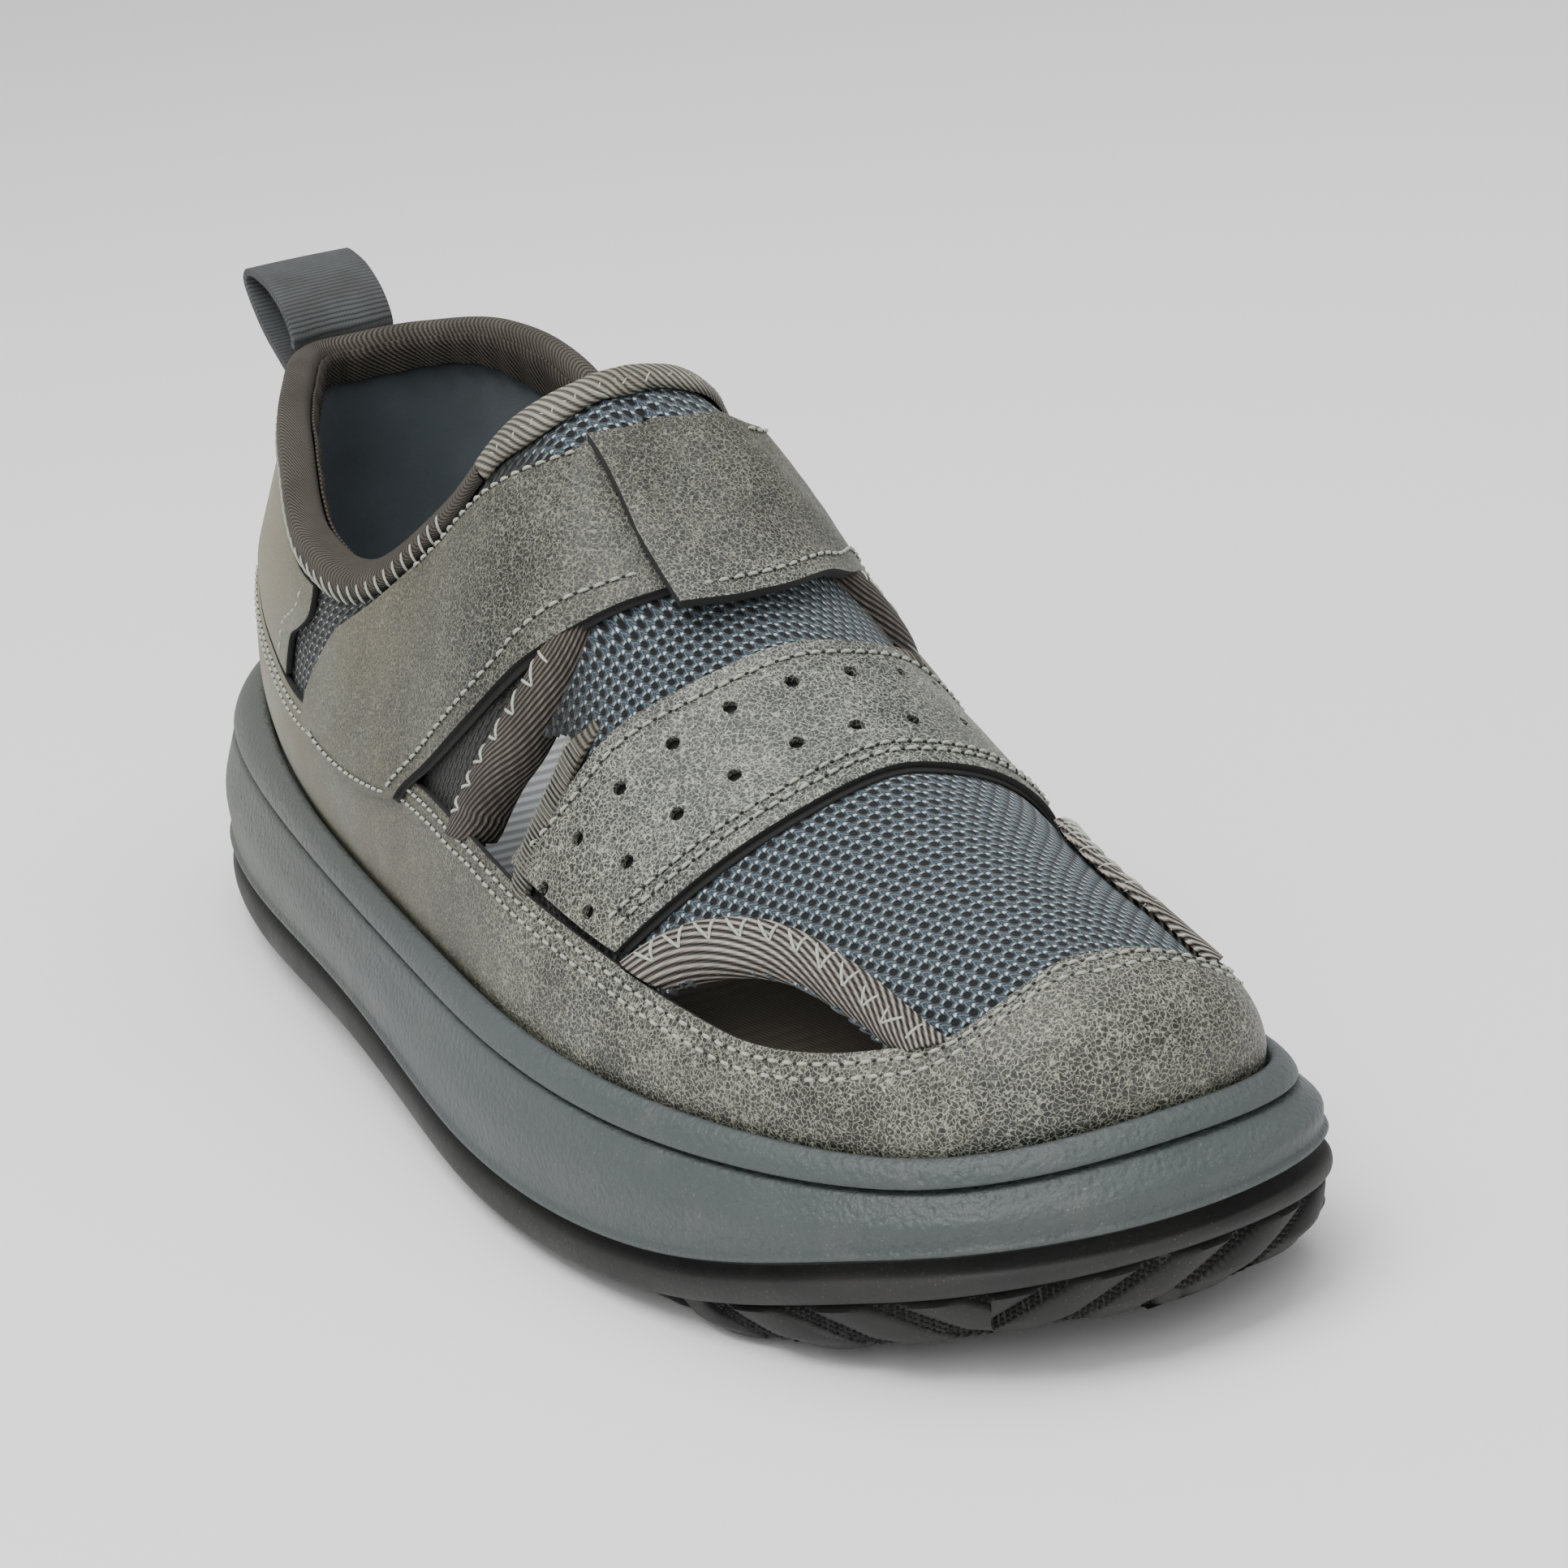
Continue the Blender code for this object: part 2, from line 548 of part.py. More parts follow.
def build():
    for obj in list(bpy.data.objects):
        bpy.data.objects.remove(obj)
    parts = bpy.data.collections.new("casual_shoe")
    tools = bpy.data.collections.new("cutters")
    for group in (parts, tools):
        bpy.context.scene.collection.children.link(group)
    rubber = material("rubber_dark", (0.045, 0.046, 0.044), 0.62)
    foam = material("foam_slate", (0.115, 0.145, 0.155), 0.58)
    footbed = material("footbed_grey", (0.30, 0.31, 0.31), 0.85)
    mesh_mat = material("mesh_blue_grey", (0.085, 0.115, 0.150), 0.80)
    leather = material("leather_grey", (0.190, 0.190, 0.165), 0.60)
    binding = material("binding_brown", (0.170, 0.150, 0.130), 0.85)
    webbing = material("webbing_grey", (0.070, 0.072, 0.075), 0.85)

    n = 2 * SIDE_COLUMNS
    t = np.arange(n) / SIDE_COLUMNS
    rim, groove, lip, band = [sole_height(k, t) for k in (1, 2, 3, 4)]
    seat = foot_inset(t) - SEAT_GAP
    mouth = seat - FOOT_SINK * wall_slope(t) - 0.1 * MM
    crest = mouth - 1.0 * MM
    shoulder = groove + GROOVE_HALF
    rings = [(seat, rim - FOOT_SINK - SEAT_GAP), (mouth, rim - 0.5 * MM), (crest, rim)]
    for turn in (55, 25, 0):
        c, s = np.cos(np.radians(turn)), np.sin(np.radians(turn))
        rings.append((crest + (GROOVE_INSET - crest) * c, shoulder + (rim - shoulder) * s))
    rings.append((GROOVE_INSET + GROOVE_DEPTH, groove))
    foot_of_side = lip + 1.0 * MM
    start = groove - GROOVE_HALF
    rings.append((GROOVE_INSET, start))
    for share in (0.35, 0.70, 1.0):
        bow = 0.8 * MM * np.sin(np.pi * share)
        rings.append((GROOVE_INSET - (GROOVE_INSET + LIP_OUT) * share - bow,
                      start + (foot_of_side - start) * share))
    rings += [(-0.5 * LIP_OUT, lip), (1.0 * MM, lip)]
    sole_solid("midsole", rings, foam, parts)

    top = lip - SEAT_GAP
    rings = [
        (0.6 * MM, top), (-0.2 * LIP_OUT, top - 0.4 * MM), (-0.2 * LIP_OUT, top - 0.8 * BAND_STEP),
        (0.4 * MM, top - BAND_STEP), (-0.6 * BAND_OUT, top - BAND_STEP - 0.8 * MM),
        (-BAND_OUT, 0.5 * (top - BAND_STEP + band)), (-0.7 * BAND_OUT, band + 1.3 * MM),
        (0.6 * MM, band)]
    plate = sole_solid("outsole", rings, rubber, parts)
    cut(plate, lugs(rubber, tools), "UNION")

    bed = rim - FOOT_SINK
    inside = foot_inset(t) + LAYER_GAP + LEATHER + UPPER_WALL + SEAT_GAP
    rings = [(inside, bed + INSOLE_THICKNESS), (inside, bed)]
    sole_solid("insole", rings, footbed, parts)

    half = half_columns()
    tt = np.concatenate([half, 2 - half[-2:0:-1]])
    vv = np.linspace(0, 1, UPPER_ROWS)
    tg, vg = np.meshgrid(tt, vv, indexing="ij")
    face = -(LAYER_GAP + LEATHER)
    upper = add_object("upper", ring_skin(tg, vg, 0 * tg + face).reshape(-1, 3),
                       grid_faces(len(tt), UPPER_ROWS, True), mesh_mat, parts, False)
    thicken(upper, UPPER_WALL)
    for mirror in (False, True):
        suffix = "medial" if mirror else "lateral"
        s = np.linspace(WINDOW_ARC[0][0], WINDOW_ARC[-1][0], 12)
        p = param(s)
        low = mudguard_top(2 - p if mirror else p) - 0.5 * wall_share(EDGE_GAP, p)
        high = np.maximum(column(WINDOW_ARC, 1, p), low + 0.01)
        w = np.linspace(0, 1, 4)[None, :]
        q = low[:, None] * (1 - w) + high[:, None] * w
        pg = np.repeat(p[:, None], 4, 1)
        q = 2 - q if mirror else q
        cut(upper, opening_tool("front_window_" + suffix, pg, q, mesh_mat, tools))
        rows = np.array(WAIST_GAP)
        v = np.repeat(rows[:, 0:1], 3, 1)
        share = np.linspace(0, 1, 3)[None, :]
        pg = param(rows[:, 1:2] * (1 - share) + rows[:, 2:3] * share)
        q = 2 - v if mirror else v
        cut(upper, opening_tool("waist_gap_" + suffix, pg, q, mesh_mat, tools))

    w = np.linspace(0, 1, MUDGUARD_ROWS)[None, :]
    vm = mudguard_top(tt)[:, None] * w
    tg = np.repeat(tt[:, None], MUDGUARD_ROWS, 1)
    guard = add_object("mudguard", ring_skin(tg, vm, 0 * tg).reshape(-1, 3),
                       grid_faces(len(tt), MUDGUARD_ROWS, True), leather, parts, False)
    thicken(guard, LEATHER)

    w = np.linspace(0, 1, 6)[None, :]
    u = np.linspace(-1, 1, 21)[:, None]
    edge = np.array(COUNTER_EDGE)
    reach = param(hermite_open(edge[:, 0], edge[:, 1], w))
    tg = u * reach
    low = mudguard_top(tg) + wall_share(EDGE_GAP, tg)
    high = column(COLLAR_EDGE, 1, to_p(tg)) - 2.5 * wall_share(EDGE_GAP, tg)
    vg = low + (high - low) * w
    counter = add_object("heel_counter", ring_skin(tg, vg, 0 * tg).reshape(-1, 3),
                         grid_faces(21, 6), leather, parts, False)
    thicken(counter, LEATHER)

    panel("forefoot_strap", FOREFOOT_STRAP, leather, parts, rows=21, cols=6)
    panel("ankle_strap", ANKLE_STRAP, leather, parts, rows=17, cols=7)
    panel("closure_strap", CLOSURE_STRAP, leather, parts, rows=21, cols=7, thickness=STRAP_END)
    for mirror in (False, True):
        suffix = "medial" if mirror else "lateral"
        panel("front_window_binding_" + suffix, WINDOW_BINDING, binding, parts, mirror, 14, 4)
        reach = QUARTER_BINDING[:4] if mirror else QUARTER_BINDING
        panel("quarter_binding_" + suffix, reach, binding, parts, mirror, 9, 4)
        panel("vamp_binding_" + suffix, VAMP_BINDING, binding, parts, mirror, 9, 3)

    tongue_start = half[COLLAR_COLUMNS + 1]
    pc = np.append(half[:COLLAR_COLUMNS + 1], tongue_start - 0.004)
    low = column(COLLAR_EDGE, 1, pc)
    inner = np.concatenate([np.column_stack([pc, 2 - low])[:0:-1], np.column_stack([pc, low])])
    rim_pq = np.concatenate([np.column_stack([pc, 1 + 1e-7 + 0 * pc])[:0:-1],
                             np.column_stack([pc, 1 + 0 * pc])])
    folded_binding("collar_binding", inner, rim_pq, 1.4 * LAYER_GAP, binding, parts)

    rows = np.array(TONGUE_EDGE)
    pt = half[COLLAR_COLUMNS + 1:COLLAR_COLUMNS + TONGUE_COLUMNS + 1]
    p_in = hermite_open(param(rows[:, 2]), param(rows[:, 0]), pt)
    q_in = hermite_open(param(rows[:, 2]), rows[:, 1], pt)
    inner = np.column_stack([p_in, q_in])
    rim_pq = np.column_stack([pt, 1 + 0 * pt])
    inner = np.concatenate([inner, np.column_stack([p_in, 2 - q_in + 1e-7])[-2::-1]])
    rim_pq = np.concatenate([rim_pq, np.column_stack([pt, 1 + 1e-7 + 0 * pt])[-2::-1]])
    folded_binding("tongue_binding", inner, rim_pq, 2.4 * LAYER_GAP, binding, parts)

    heel = shell(0.0, 1.0)
    y, z = float(heel[1]), float(heel[2]) + SEAT_GAP + BINDING_FOLD + 2 * SEAT_GAP
    back, up = LOOP_BACK, LOOP_RISE
    path = np.array([
        (y - 0.5 * MM, z), (y - 0.30 * back, z + 0.40 * up), (y - 0.65 * back, z + 0.76 * up),
        (y - 0.90 * back, z + 0.97 * up), (y - 1.04 * back, z + 1.02 * up), (y - 1.16 * back, z + 0.95 * up),
        (y - 1.18 * back, z + 0.78 * up), (y - 1.00 * back, z + 0.35 * up), (y - 0.72 * back, z - 0.10 * up),
        (y - 0.46 * back, z - 0.45 * up)])
    steps = np.linspace(0, 1, len(path))
    u = np.linspace(0, 1, 22)
    yz = np.column_stack([hermite_open(steps, path[:, k], u) for k in (0, 1)])
    tail = shell(0.0, np.array([0.90, 0.84, 0.78]))
    tail_out = shell_normal(0.0, np.array([0.90, 0.84, 0.78]))
    tail = tail + tail_out * (LAYER_GAP + LOOP_WEB)
    yz = np.concatenate([yz, tail[:, 1:]])
    across = np.linspace(-0.5, 0.5, 3) * LOOP_WIDTH
    pts = [(x, a, b) for a, b in yz for x in across]
    loop = add_object("pull_loop", pts, grid_faces(len(yz), 3), webbing, parts, False)
    if loop.data.polygons[0].normal.z < 0:
        loop.data.flip_normals()
    thicken(loop, LOOP_WEB)


build()
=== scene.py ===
import bmesh
import bpy
import numpy as np
from mathutils import Matrix


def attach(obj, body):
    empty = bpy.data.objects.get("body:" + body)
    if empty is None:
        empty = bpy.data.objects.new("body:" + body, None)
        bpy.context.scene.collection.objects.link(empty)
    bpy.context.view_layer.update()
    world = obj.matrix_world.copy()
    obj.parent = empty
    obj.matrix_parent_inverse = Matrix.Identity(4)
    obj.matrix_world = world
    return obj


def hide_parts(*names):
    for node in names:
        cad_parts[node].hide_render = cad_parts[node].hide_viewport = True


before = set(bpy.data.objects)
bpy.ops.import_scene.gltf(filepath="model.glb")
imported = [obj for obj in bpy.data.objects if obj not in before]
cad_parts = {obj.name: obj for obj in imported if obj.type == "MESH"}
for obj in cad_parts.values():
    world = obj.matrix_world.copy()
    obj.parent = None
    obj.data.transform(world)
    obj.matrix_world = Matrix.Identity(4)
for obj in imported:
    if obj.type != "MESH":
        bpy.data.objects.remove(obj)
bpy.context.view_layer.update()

MM = 0.001
print("nodes in the frame:", len(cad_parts))

# %% [markdown]
# ## The shape of the last
# A shoe is built round a last. One formula gives its surface: at each share of
# the length, a curve with four control points climbs from the foot of the wall
# to the collar or to the ridge of the vamp. The tables hold shares of the named
# sizes, as in the solids, so each layer of the shoe lies where its solid lies.
# %% Sizes and tables of the last
SOLE_LENGTH = 0.286
BALL_WIDTH = 0.107
HEEL_STACK = 0.0456
INSTEP_HEIGHT = 0.117
HEEL_REST_AT = 0.055
UPPER_WALL = 1.8 * MM
LEATHER = 1.25 * MM
LAYER_GAP = 0.5 * MM
SEAT_GAP = 0.35 * MM
FOOT_SINK = 3.0 * MM
RIM_INSET = 7.4 * MM
GROOVE_INSET = 2.4 * MM
LIP_OUT = 1.2 * MM
BAND_OUT = 1.6 * MM
BAND_STEP = 2.2 * MM
THROAT_AT = 0.57
RIDGE_FALL = 0.8
SIDE_STEP = 1e-7  # puts a place just past the ridge, on the inner side of the foot
CORNER = 0.3 * MM  # rounding of a cut edge
TAPE = 0.55 * MM  # thickness of the binding tapes

# share of the length, lateral and medial half width
OUTLINE = [
    (0.00, 0.00, 0.00), (0.03, 0.26, -0.23), (0.12, 0.39, -0.335), (0.23, 0.44, -0.36),
    (0.37, 0.47, -0.38), (0.51, 0.50, -0.45), (0.63, 0.52, -0.44), (0.74, 0.495, -0.43),
    (0.85, 0.41, -0.395), (0.95, 0.25, -0.355), (1.00, -0.07, -0.07)]
# share of the length, then rim, groove, lip and lower edge of the band
SOLE_LINES = [
    (0.00, 1.00, 0.770, 0.30, 0.070), (0.19, 0.86, 0.715, 0.31, 0.080),
    (0.40, 0.74, 0.640, 0.32, 0.110), (0.61, 0.725, 0.635, 0.235, 0.032),
    (0.79, 0.70, 0.600, 0.25, 0.065), (0.93, 0.71, 0.625, 0.43, 0.250),
    (1.00, 0.78, 0.700, 0.50, 0.350)]
# share of the length, underside of the lugs
TREAD = [
    (0.00, 0.040), (0.05, 0.0), (0.28, 0.0), (0.40, 0.055),
    (0.52, 0.0), (0.78, 0.0), (0.90, 0.070), (1.00, 0.200)]
# share at the foot, share at the top, middle, half width, height
TOP_LINE = [
    (0.00, 0.042, 0.000, 0.000, 0.830), (0.03, 0.064, -0.015, 0.122, 0.838),
    (0.10, 0.123, -0.025, 0.212, 0.846), (0.20, 0.197, -0.005, 0.280, 0.805),
    (0.30, 0.279, 0.017, 0.318, 0.705), (0.40, 0.365, 0.008, 0.293, 0.706),
    (0.46, 0.425, 0.000, 0.228, 0.820), (0.52, 0.472, 0.008, 0.138, 0.950),
    (0.548, 0.494, 0.012, 0.074, 0.988), (0.57, 0.503, 0.016, 0.000, 1.000),
    (0.63, 0.572, 0.018, 0.000, 0.865), (0.72, 0.685, -0.006, 0.000, 0.685),
    (0.82, 0.784, -0.040, 0.000, 0.577), (0.92, 0.866, -0.068, 0.000, 0.510),
    (1.00, 0.916, -0.072, 0.000, 0.473)]
# share, inset of the foot, bulge, rise, crown, lean of the top, reach down the ridge
WALL = [
    (0.00, 0.033, 0.047, 0.222, 0.00, -0.154, 0.0),
    (0.10, 0.028, 0.047, 0.214, 0.02, -0.137, 0.0),
    (0.30, 0.000, 0.042, 0.162, 0.08, -0.094, 0.0),
    (0.44, 0.000, 0.037, 0.179, 0.28, -0.060, 0.003),
    (0.52, 0.000, 0.031, 0.200, 0.42, -0.025, 0.022),
    (0.57, 0.000, 0.028, 0.214, 0.50, -0.010, 0.036),
    (0.64, 0.000, 0.026, 0.196, 0.51, -0.014, 0.014),
    (0.75, 0.000, 0.023, 0.162, 0.53, -0.018, 0.0),
    (0.90, 0.000, 0.028, 0.132, 0.55, -0.014, 0.0),
    (1.00, 0.000, 0.031, 0.124, 0.60, -0.009, 0.0)]
# share, lateral and medial height of the mudguard
MUDGUARD = [
    (0.00, 0.40, 0.40), (0.25, 0.37, 0.37), (0.34, 0.41, 0.41), (0.42, 0.385, 0.385),
    (0.50, 0.315, 0.32), (0.567, 0.272, 0.28), (0.626, 0.28, 0.285), (0.734, 0.305, 0.305),
    (0.79, 0.298, 0.30), (0.846, 0.293, 0.30), (0.885, 0.33, 0.325), (0.915, 0.385, 0.36),
    (0.95, 0.49, 0.45), (0.965, 0.62, 0.55), (0.977, 0.75, 0.68), (1.00, 0.87, 0.87)]

# %% The formula of the last
def param(share):
    """Angle over pi whose cosine runs from 1 at the heel to -1 at the toe."""
    return np.arccos(np.clip(1 - 2 * np.asarray(share, float), -1, 1)) / np.pi


def share_of(p):
    """Half of one minus the cosine of the parameter times pi."""
    return (1 - np.cos(np.pi * np.asarray(p, float))) / 2


def cubic(xs, ys, m, x):
    """Cubic piece by piece through (xs, ys) with the slopes m."""
    h = np.diff(xs)
    i = np.clip(np.searchsorted(xs, x, side="right") - 1, 0, len(h) - 1)
    t = (x - xs[i]) / h[i]
    rise = (2 * t ** 3 - 3 * t ** 2 + 1) * ys[i] + (3 * t ** 2 - 2 * t ** 3) * ys[i + 1]
    return rise + ((t ** 3 - 2 * t ** 2 + t) * m[i] + (t ** 3 - t ** 2) * m[i + 1]) * h[i]


def slopes(xs, ys, start, end):
    """Slopes that weigh the two neighbours; the ends are level or open."""
    h, d = np.diff(xs), np.diff(ys) / np.diff(xs)
    mid = (d[:-1] * h[1:] + d[1:] * h[:-1]) / (h[:-1] + h[1:])
    return np.concatenate([[d[0] if start else 0.0], mid, [d[-1] if end else 0.0]])


def column(table, k, p, open_start=False):
    """Column k of a table, read smoothly at a parameter."""
    rows = np.array(table, float)
    xs = param(rows[:, 0])
    m = slopes(xs, rows[:, k], open_start, False)
    return cubic(xs, rows[:, k], m, np.clip(np.asarray(p, float), xs[0], xs[-1]))


def open_curve(ys, x):
    """Curve through evenly spaced values with open ends, x from 0 to 1."""
    xs = np.linspace(0, 1, len(ys))
    return cubic(xs, np.asarray(ys, float), slopes(xs, ys, True, True), np.asarray(x, float))


def closed_spline(knots, values, t):
    """Cubic spline with smooth curvature that closes on itself after 2."""
    n = len(knots)
    h = np.diff(np.append(knots, knots[0] + 2.0))
    i = np.arange(n)
    j, k = (i + 1) % n, i - 1
    a = np.zeros((n, n))
    a[i, k] += h[k]
    a[i, i] += 2 * (h[k] + h)
    a[i, j] += h
    b = 6 * ((values[j] - values) / h - (values - values[k]) / h[k])
    m = np.linalg.solve(a, b)
    t = np.mod(np.asarray(t, float) - knots[0], 2.0) + knots[0]
    i = np.clip(np.searchsorted(knots, t, side="right") - 1, 0, n - 1)
    j, u, w = (i + 1) % n, t - knots[i], h[i]
    bend = (m[i] * (w - u) ** 3 + m[j] * u ** 3) / (6 * w)
    return bend + (values[i] / w - m[i] * w / 6) * (w - u) + (values[j] / w - m[j] * w / 6) * u


def to_p(t):
    """Parameter heel to toe of a place t round the sole, 0 to 2."""
    t = np.mod(np.asarray(t, float), 2.0)
    return np.minimum(t, 2 - t)


def outline(t):
    """Plan of the sole: half widths splined round, length by the cosine."""
    rows = np.array(OUTLINE)
    knots = np.concatenate([param(rows[:, 0]), 2 - param(rows[-2:0:-1, 0])])
    half = np.concatenate([rows[:, 1], rows[-2:0:-1, 2]]) * BALL_WIDTH
    t = np.mod(np.asarray(t, float), 2.0)
    ahead = SOLE_LENGTH * share_of(to_p(t)) - HEEL_REST_AT
    return np.stack([closed_spline(knots, half, t), ahead], -1)


def outward(t):
    """The plan's tangent turned by a right angle."""
    d = outline(np.asarray(t) + 1e-4) - outline(np.asarray(t) - 1e-4)
    d /= np.linalg.norm(d, axis=-1, keepdims=True)
    return np.stack([d[..., 1], -d[..., 0]], -1)


def sole_height(k, t):
    """Column k of the sole lines at a place round the sole, times the stack."""
    return column(SOLE_LINES, k, to_p(t)) * HEEL_STACK


def foot_inset(t):
    """Inset of the rim plus the wall's own inset at its foot."""
    return RIM_INSET + column(WALL, 1, to_p(t)) * BALL_WIDTH


def shell(p, q):
    """Bezier curve of the wall: foot, bulge, crown, top; q 0 to 1 to 2."""
    p, q = np.broadcast_arrays(np.asarray(p, float), np.asarray(q, float))
    lateral = q <= 1
    v = np.where(lateral, q, 2 - q)[..., None]
    t = np.where(lateral, p, 2 - p)
    n = outward(t)
    foot = outline(t) - n * foot_inset(t)[..., None]
    p0 = np.concatenate([foot, (sole_height(1, t) - FOOT_SINK)[..., None]], -1)
    opening = np.maximum(column(TOP_LINE, 3, p, True), 0.0)
    side = column(TOP_LINE, 2, p) + np.where(lateral, opening, -opening)
    ahead = column(TOP_LINE, 1, p) * SOLE_LENGTH - HEEL_REST_AT
    p3 = np.stack([side * BALL_WIDTH, ahead, column(TOP_LINE, 4, p) * INSTEP_HEIGHT], -1)
    bulge, rise, crown, lean, reach = [column(WALL, k, p)[..., None] for k in (2, 3, 4, 5, 6)]
    n3 = np.concatenate([n, 0 * n[..., :1]], -1)
    up = np.array([0.0, 0.0, 1.0])
    p1 = p0 + n3 * bulge * BALL_WIDTH + up * rise * INSTEP_HEIGHT
    flat = (p0 - p3) * np.array([1.0, 1.0, 0.0])
    ridge = np.array([0.0, 1.0, -RIDGE_FALL])
    p2 = p3 + flat * crown + up * lean * INSTEP_HEIGHT + ridge * reach * SOLE_LENGTH
    return (1 - v) ** 3 * p0 + 3 * (1 - v) ** 2 * v * p1 + 3 * (1 - v) * v * v * p2 + v ** 3 * p3


def shell_normal(p, q):
    """Cross product of the two tangents, each from a small step."""
    p, q = np.broadcast_arrays(np.asarray(p, float), np.asarray(q, float))
    p, e = np.clip(p, 0.0, 0.985), 1e-3
    a = shell(np.clip(p + e, 0, 1), q) - shell(np.clip(p - e, 0, 1), q)
    joined = share_of(p) >= THROAT_AT - 1e-4
    lo = np.where((q > 1) & ~joined, 1 + SIDE_STEP, 0)
    hi = np.where((q <= 1) & ~joined, 1, 2)
    n = np.cross(a, shell(p, np.clip(q + e, lo, hi)) - shell(p, np.clip(q - e, lo, hi)))
    return n / (np.linalg.norm(n, axis=-1, keepdims=True) + 1e-12)


print("ball of the foot at", np.round(shell(param(0.63), 0.3) / MM, 1), "mm")

# %% [markdown]
# ## Creases
# A worn shoe has soft folds where the foot bends it. Each row below is one fold
# between two points: negative is a trough, positive a ridge.
# The depth falls off like a bell across the fold and fades at its ends. All
# layers read the same folds, so they stay on each other.
# %% Folds of the upper
FOLDS = [  # ax, ay, az, bx, by, bz, half width, depth, all in mm
    (22, 150, 62, -26, 154, 60, 3.2, -0.55), (20, 157, 60, -24, 161, 57, 3.0, 0.40),
    (24, 164, 56, -10, 168, 58, 2.6, -0.35), (-2, 176, 57, -30, 172, 54, 3.0, -0.35),
    (34, 118, 64, 12, 126, 78, 3.0, -0.45), (36, 128, 60, 10, 138, 72, 3.2, -0.40),
    (-34, 122, 64, -8, 130, 76, 3.0, -0.45), (-37, 132, 58, -12, 142, 70, 3.2, -0.35),
    (26, 92, 92, -12, 104, 99, 3.2, -0.75), (24, 99, 88, -8, 111, 94, 2.8, 0.40),
    (40, 52, 66, 26, 74, 92, 4.0, -0.45), (-40, 54, 66, -26, 76, 92, 4.0, -0.45),
    (38, 20, 62, 42, 44, 70, 5.0, -0.60), (-36, 18, 62, -38, 44, 70, 5.0, -0.60),
    (26, -30, 66, 30, 0, 74, 5.0, 0.50), (-24, -30, 66, -30, 0, 74, 5.0, 0.50),
    (30, 196, 46, 6, 216, 50, 4.0, -0.40), (-34, 196, 46, -12, 216, 50, 4.0, -0.35),
    (20, -40, 54, 32, -16, 52, 4.0, -0.35), (-20, -40, 54, -30, -16, 52, 4.0, -0.35)]


def folds(points):
    """Sum of bells across each fold, times a bell along it."""
    total = np.zeros(points.shape[:-1])
    for row in np.array(FOLDS) * MM:
        a, b, width, depth = row[:3], row[3:6], row[6], row[7]
        way = b - a
        s = np.clip(((points - a) @ way) / (way @ way), 0, 1)
        off = np.linalg.norm(points - a - s[..., None] * way, axis=-1)
        total += depth * np.exp(-(off / width) ** 2) * np.sin(np.pi * (0.12 + 0.76 * s))
    return total


def skin(p, q, lift):
    """Point of the last moved out along its normal by the lift and the folds."""
    base = shell(p, q)
    return base + shell_normal(p, q) * (np.asarray(lift, float) + folds(base))[..., None]


def ring(t, v, lift):
    """The same with t round the foot, 0 to 2, and v up the wall."""
    t = np.mod(np.asarray(t, float), 2.0)
    medial = t > 1
    return skin(np.where(medial, 2 - t, t), np.where(medial, 2 - v + SIDE_STEP, v), lift)


def on_ring(t, v, lift):
    """Point of the ring, and the way out of the shoe there."""
    at = ring(t, v, lift)
    return at, ring(t, v, lift + MM) - at


def guard_top(t):
    """Height of the mudguard's edge on either side."""
    t = np.mod(np.asarray(t, float), 2.0)
    return np.where(t > 1, column(MUDGUARD, 2, to_p(t)), column(MUDGUARD, 1, to_p(t)))


print("folds:", len(FOLDS))

# %% [markdown]
# ## Turning formulas into meshes
# A grid of points becomes a mesh in one step. The map coordinates are lengths in
# metres along the two ways of the grid, so a weave keeps its size everywhere.
# Leather gets its thickness from Solidify, which can give the cut edge another
# material, and its soft corner from Bevel.
# %% Mesh helpers
def walk(points, axis):
    """Distance walked along one way of a grid, from its first line."""
    step = np.linalg.norm(np.diff(points, axis=axis), axis=-1)
    pad = [(0, 0)] * step.ndim
    pad[axis] = (1, 0)
    return np.pad(np.cumsum(step, axis=axis), pad)


def grid_faces(rows, cols):
    """Corner numbers of every cell of a grid."""
    k = np.arange(rows * cols).reshape(rows, cols)
    return np.stack([k[:-1, :-1], k[1:, :-1], k[1:, 1:], k[:-1, 1:]], -1).reshape(-1, 4)


def place_object(name, data):
    """New object in the scene that holds a mesh, a camera or a light."""
    obj = bpy.data.objects.new(name, data)
    bpy.context.scene.collection.objects.link(obj)
    return obj


def make_object(name, points, faces, mats=(), uv=None, clean=None, smooth=True):
    """Points and faces as one object; map coordinates are given per point."""
    mesh = bpy.data.meshes.new(name)
    mesh.from_pydata(np.reshape(points, (-1, 3)).tolist(), [], faces)
    if uv is not None:
        corner = np.zeros(len(mesh.loops), np.int32)
        mesh.loops.foreach_get("vertex_index", corner)
        layer = mesh.uv_layers.new(name="UVMap")
        layer.data.foreach_set("uv", uv.reshape(-1, 2)[corner].ravel().astype(np.float32))
    if clean:
        work = bmesh.new()
        work.from_mesh(mesh)
        clean(work)
        work.to_mesh(mesh)
        work.free()
    for mat in mats:
        mesh.materials.append(mat)
    if smooth:
        mesh.shade_smooth()
    return place_object(name, mesh)


def join_doubles(work):
    """Points closer than two thousandths of a millimetre become one."""
    bmesh.ops.remove_doubles(work, verts=work.verts, dist=2e-6)


def grid_object(name, points, want, mats, uv=None, drop=None):
    """Open grid whose faces look along want; drop marks cells to leave out."""
    faces = grid_faces(*points.shape[:2])
    a = points[1:, :-1] - points[:-1, :-1]
    b = points[:-1, 1:] - points[:-1, :-1]
    if np.median(np.sum(np.cross(a, b) * want[:-1, :-1], -1)) < 0:
        faces = faces[:, ::-1]
    if drop is not None:
        faces = faces[~drop.ravel()]
    if uv is None:
        uv = np.stack([walk(points, 0), walk(points, 1)], -1)
    return make_object(name, points, faces.tolist(), mats, uv, join_doubles)


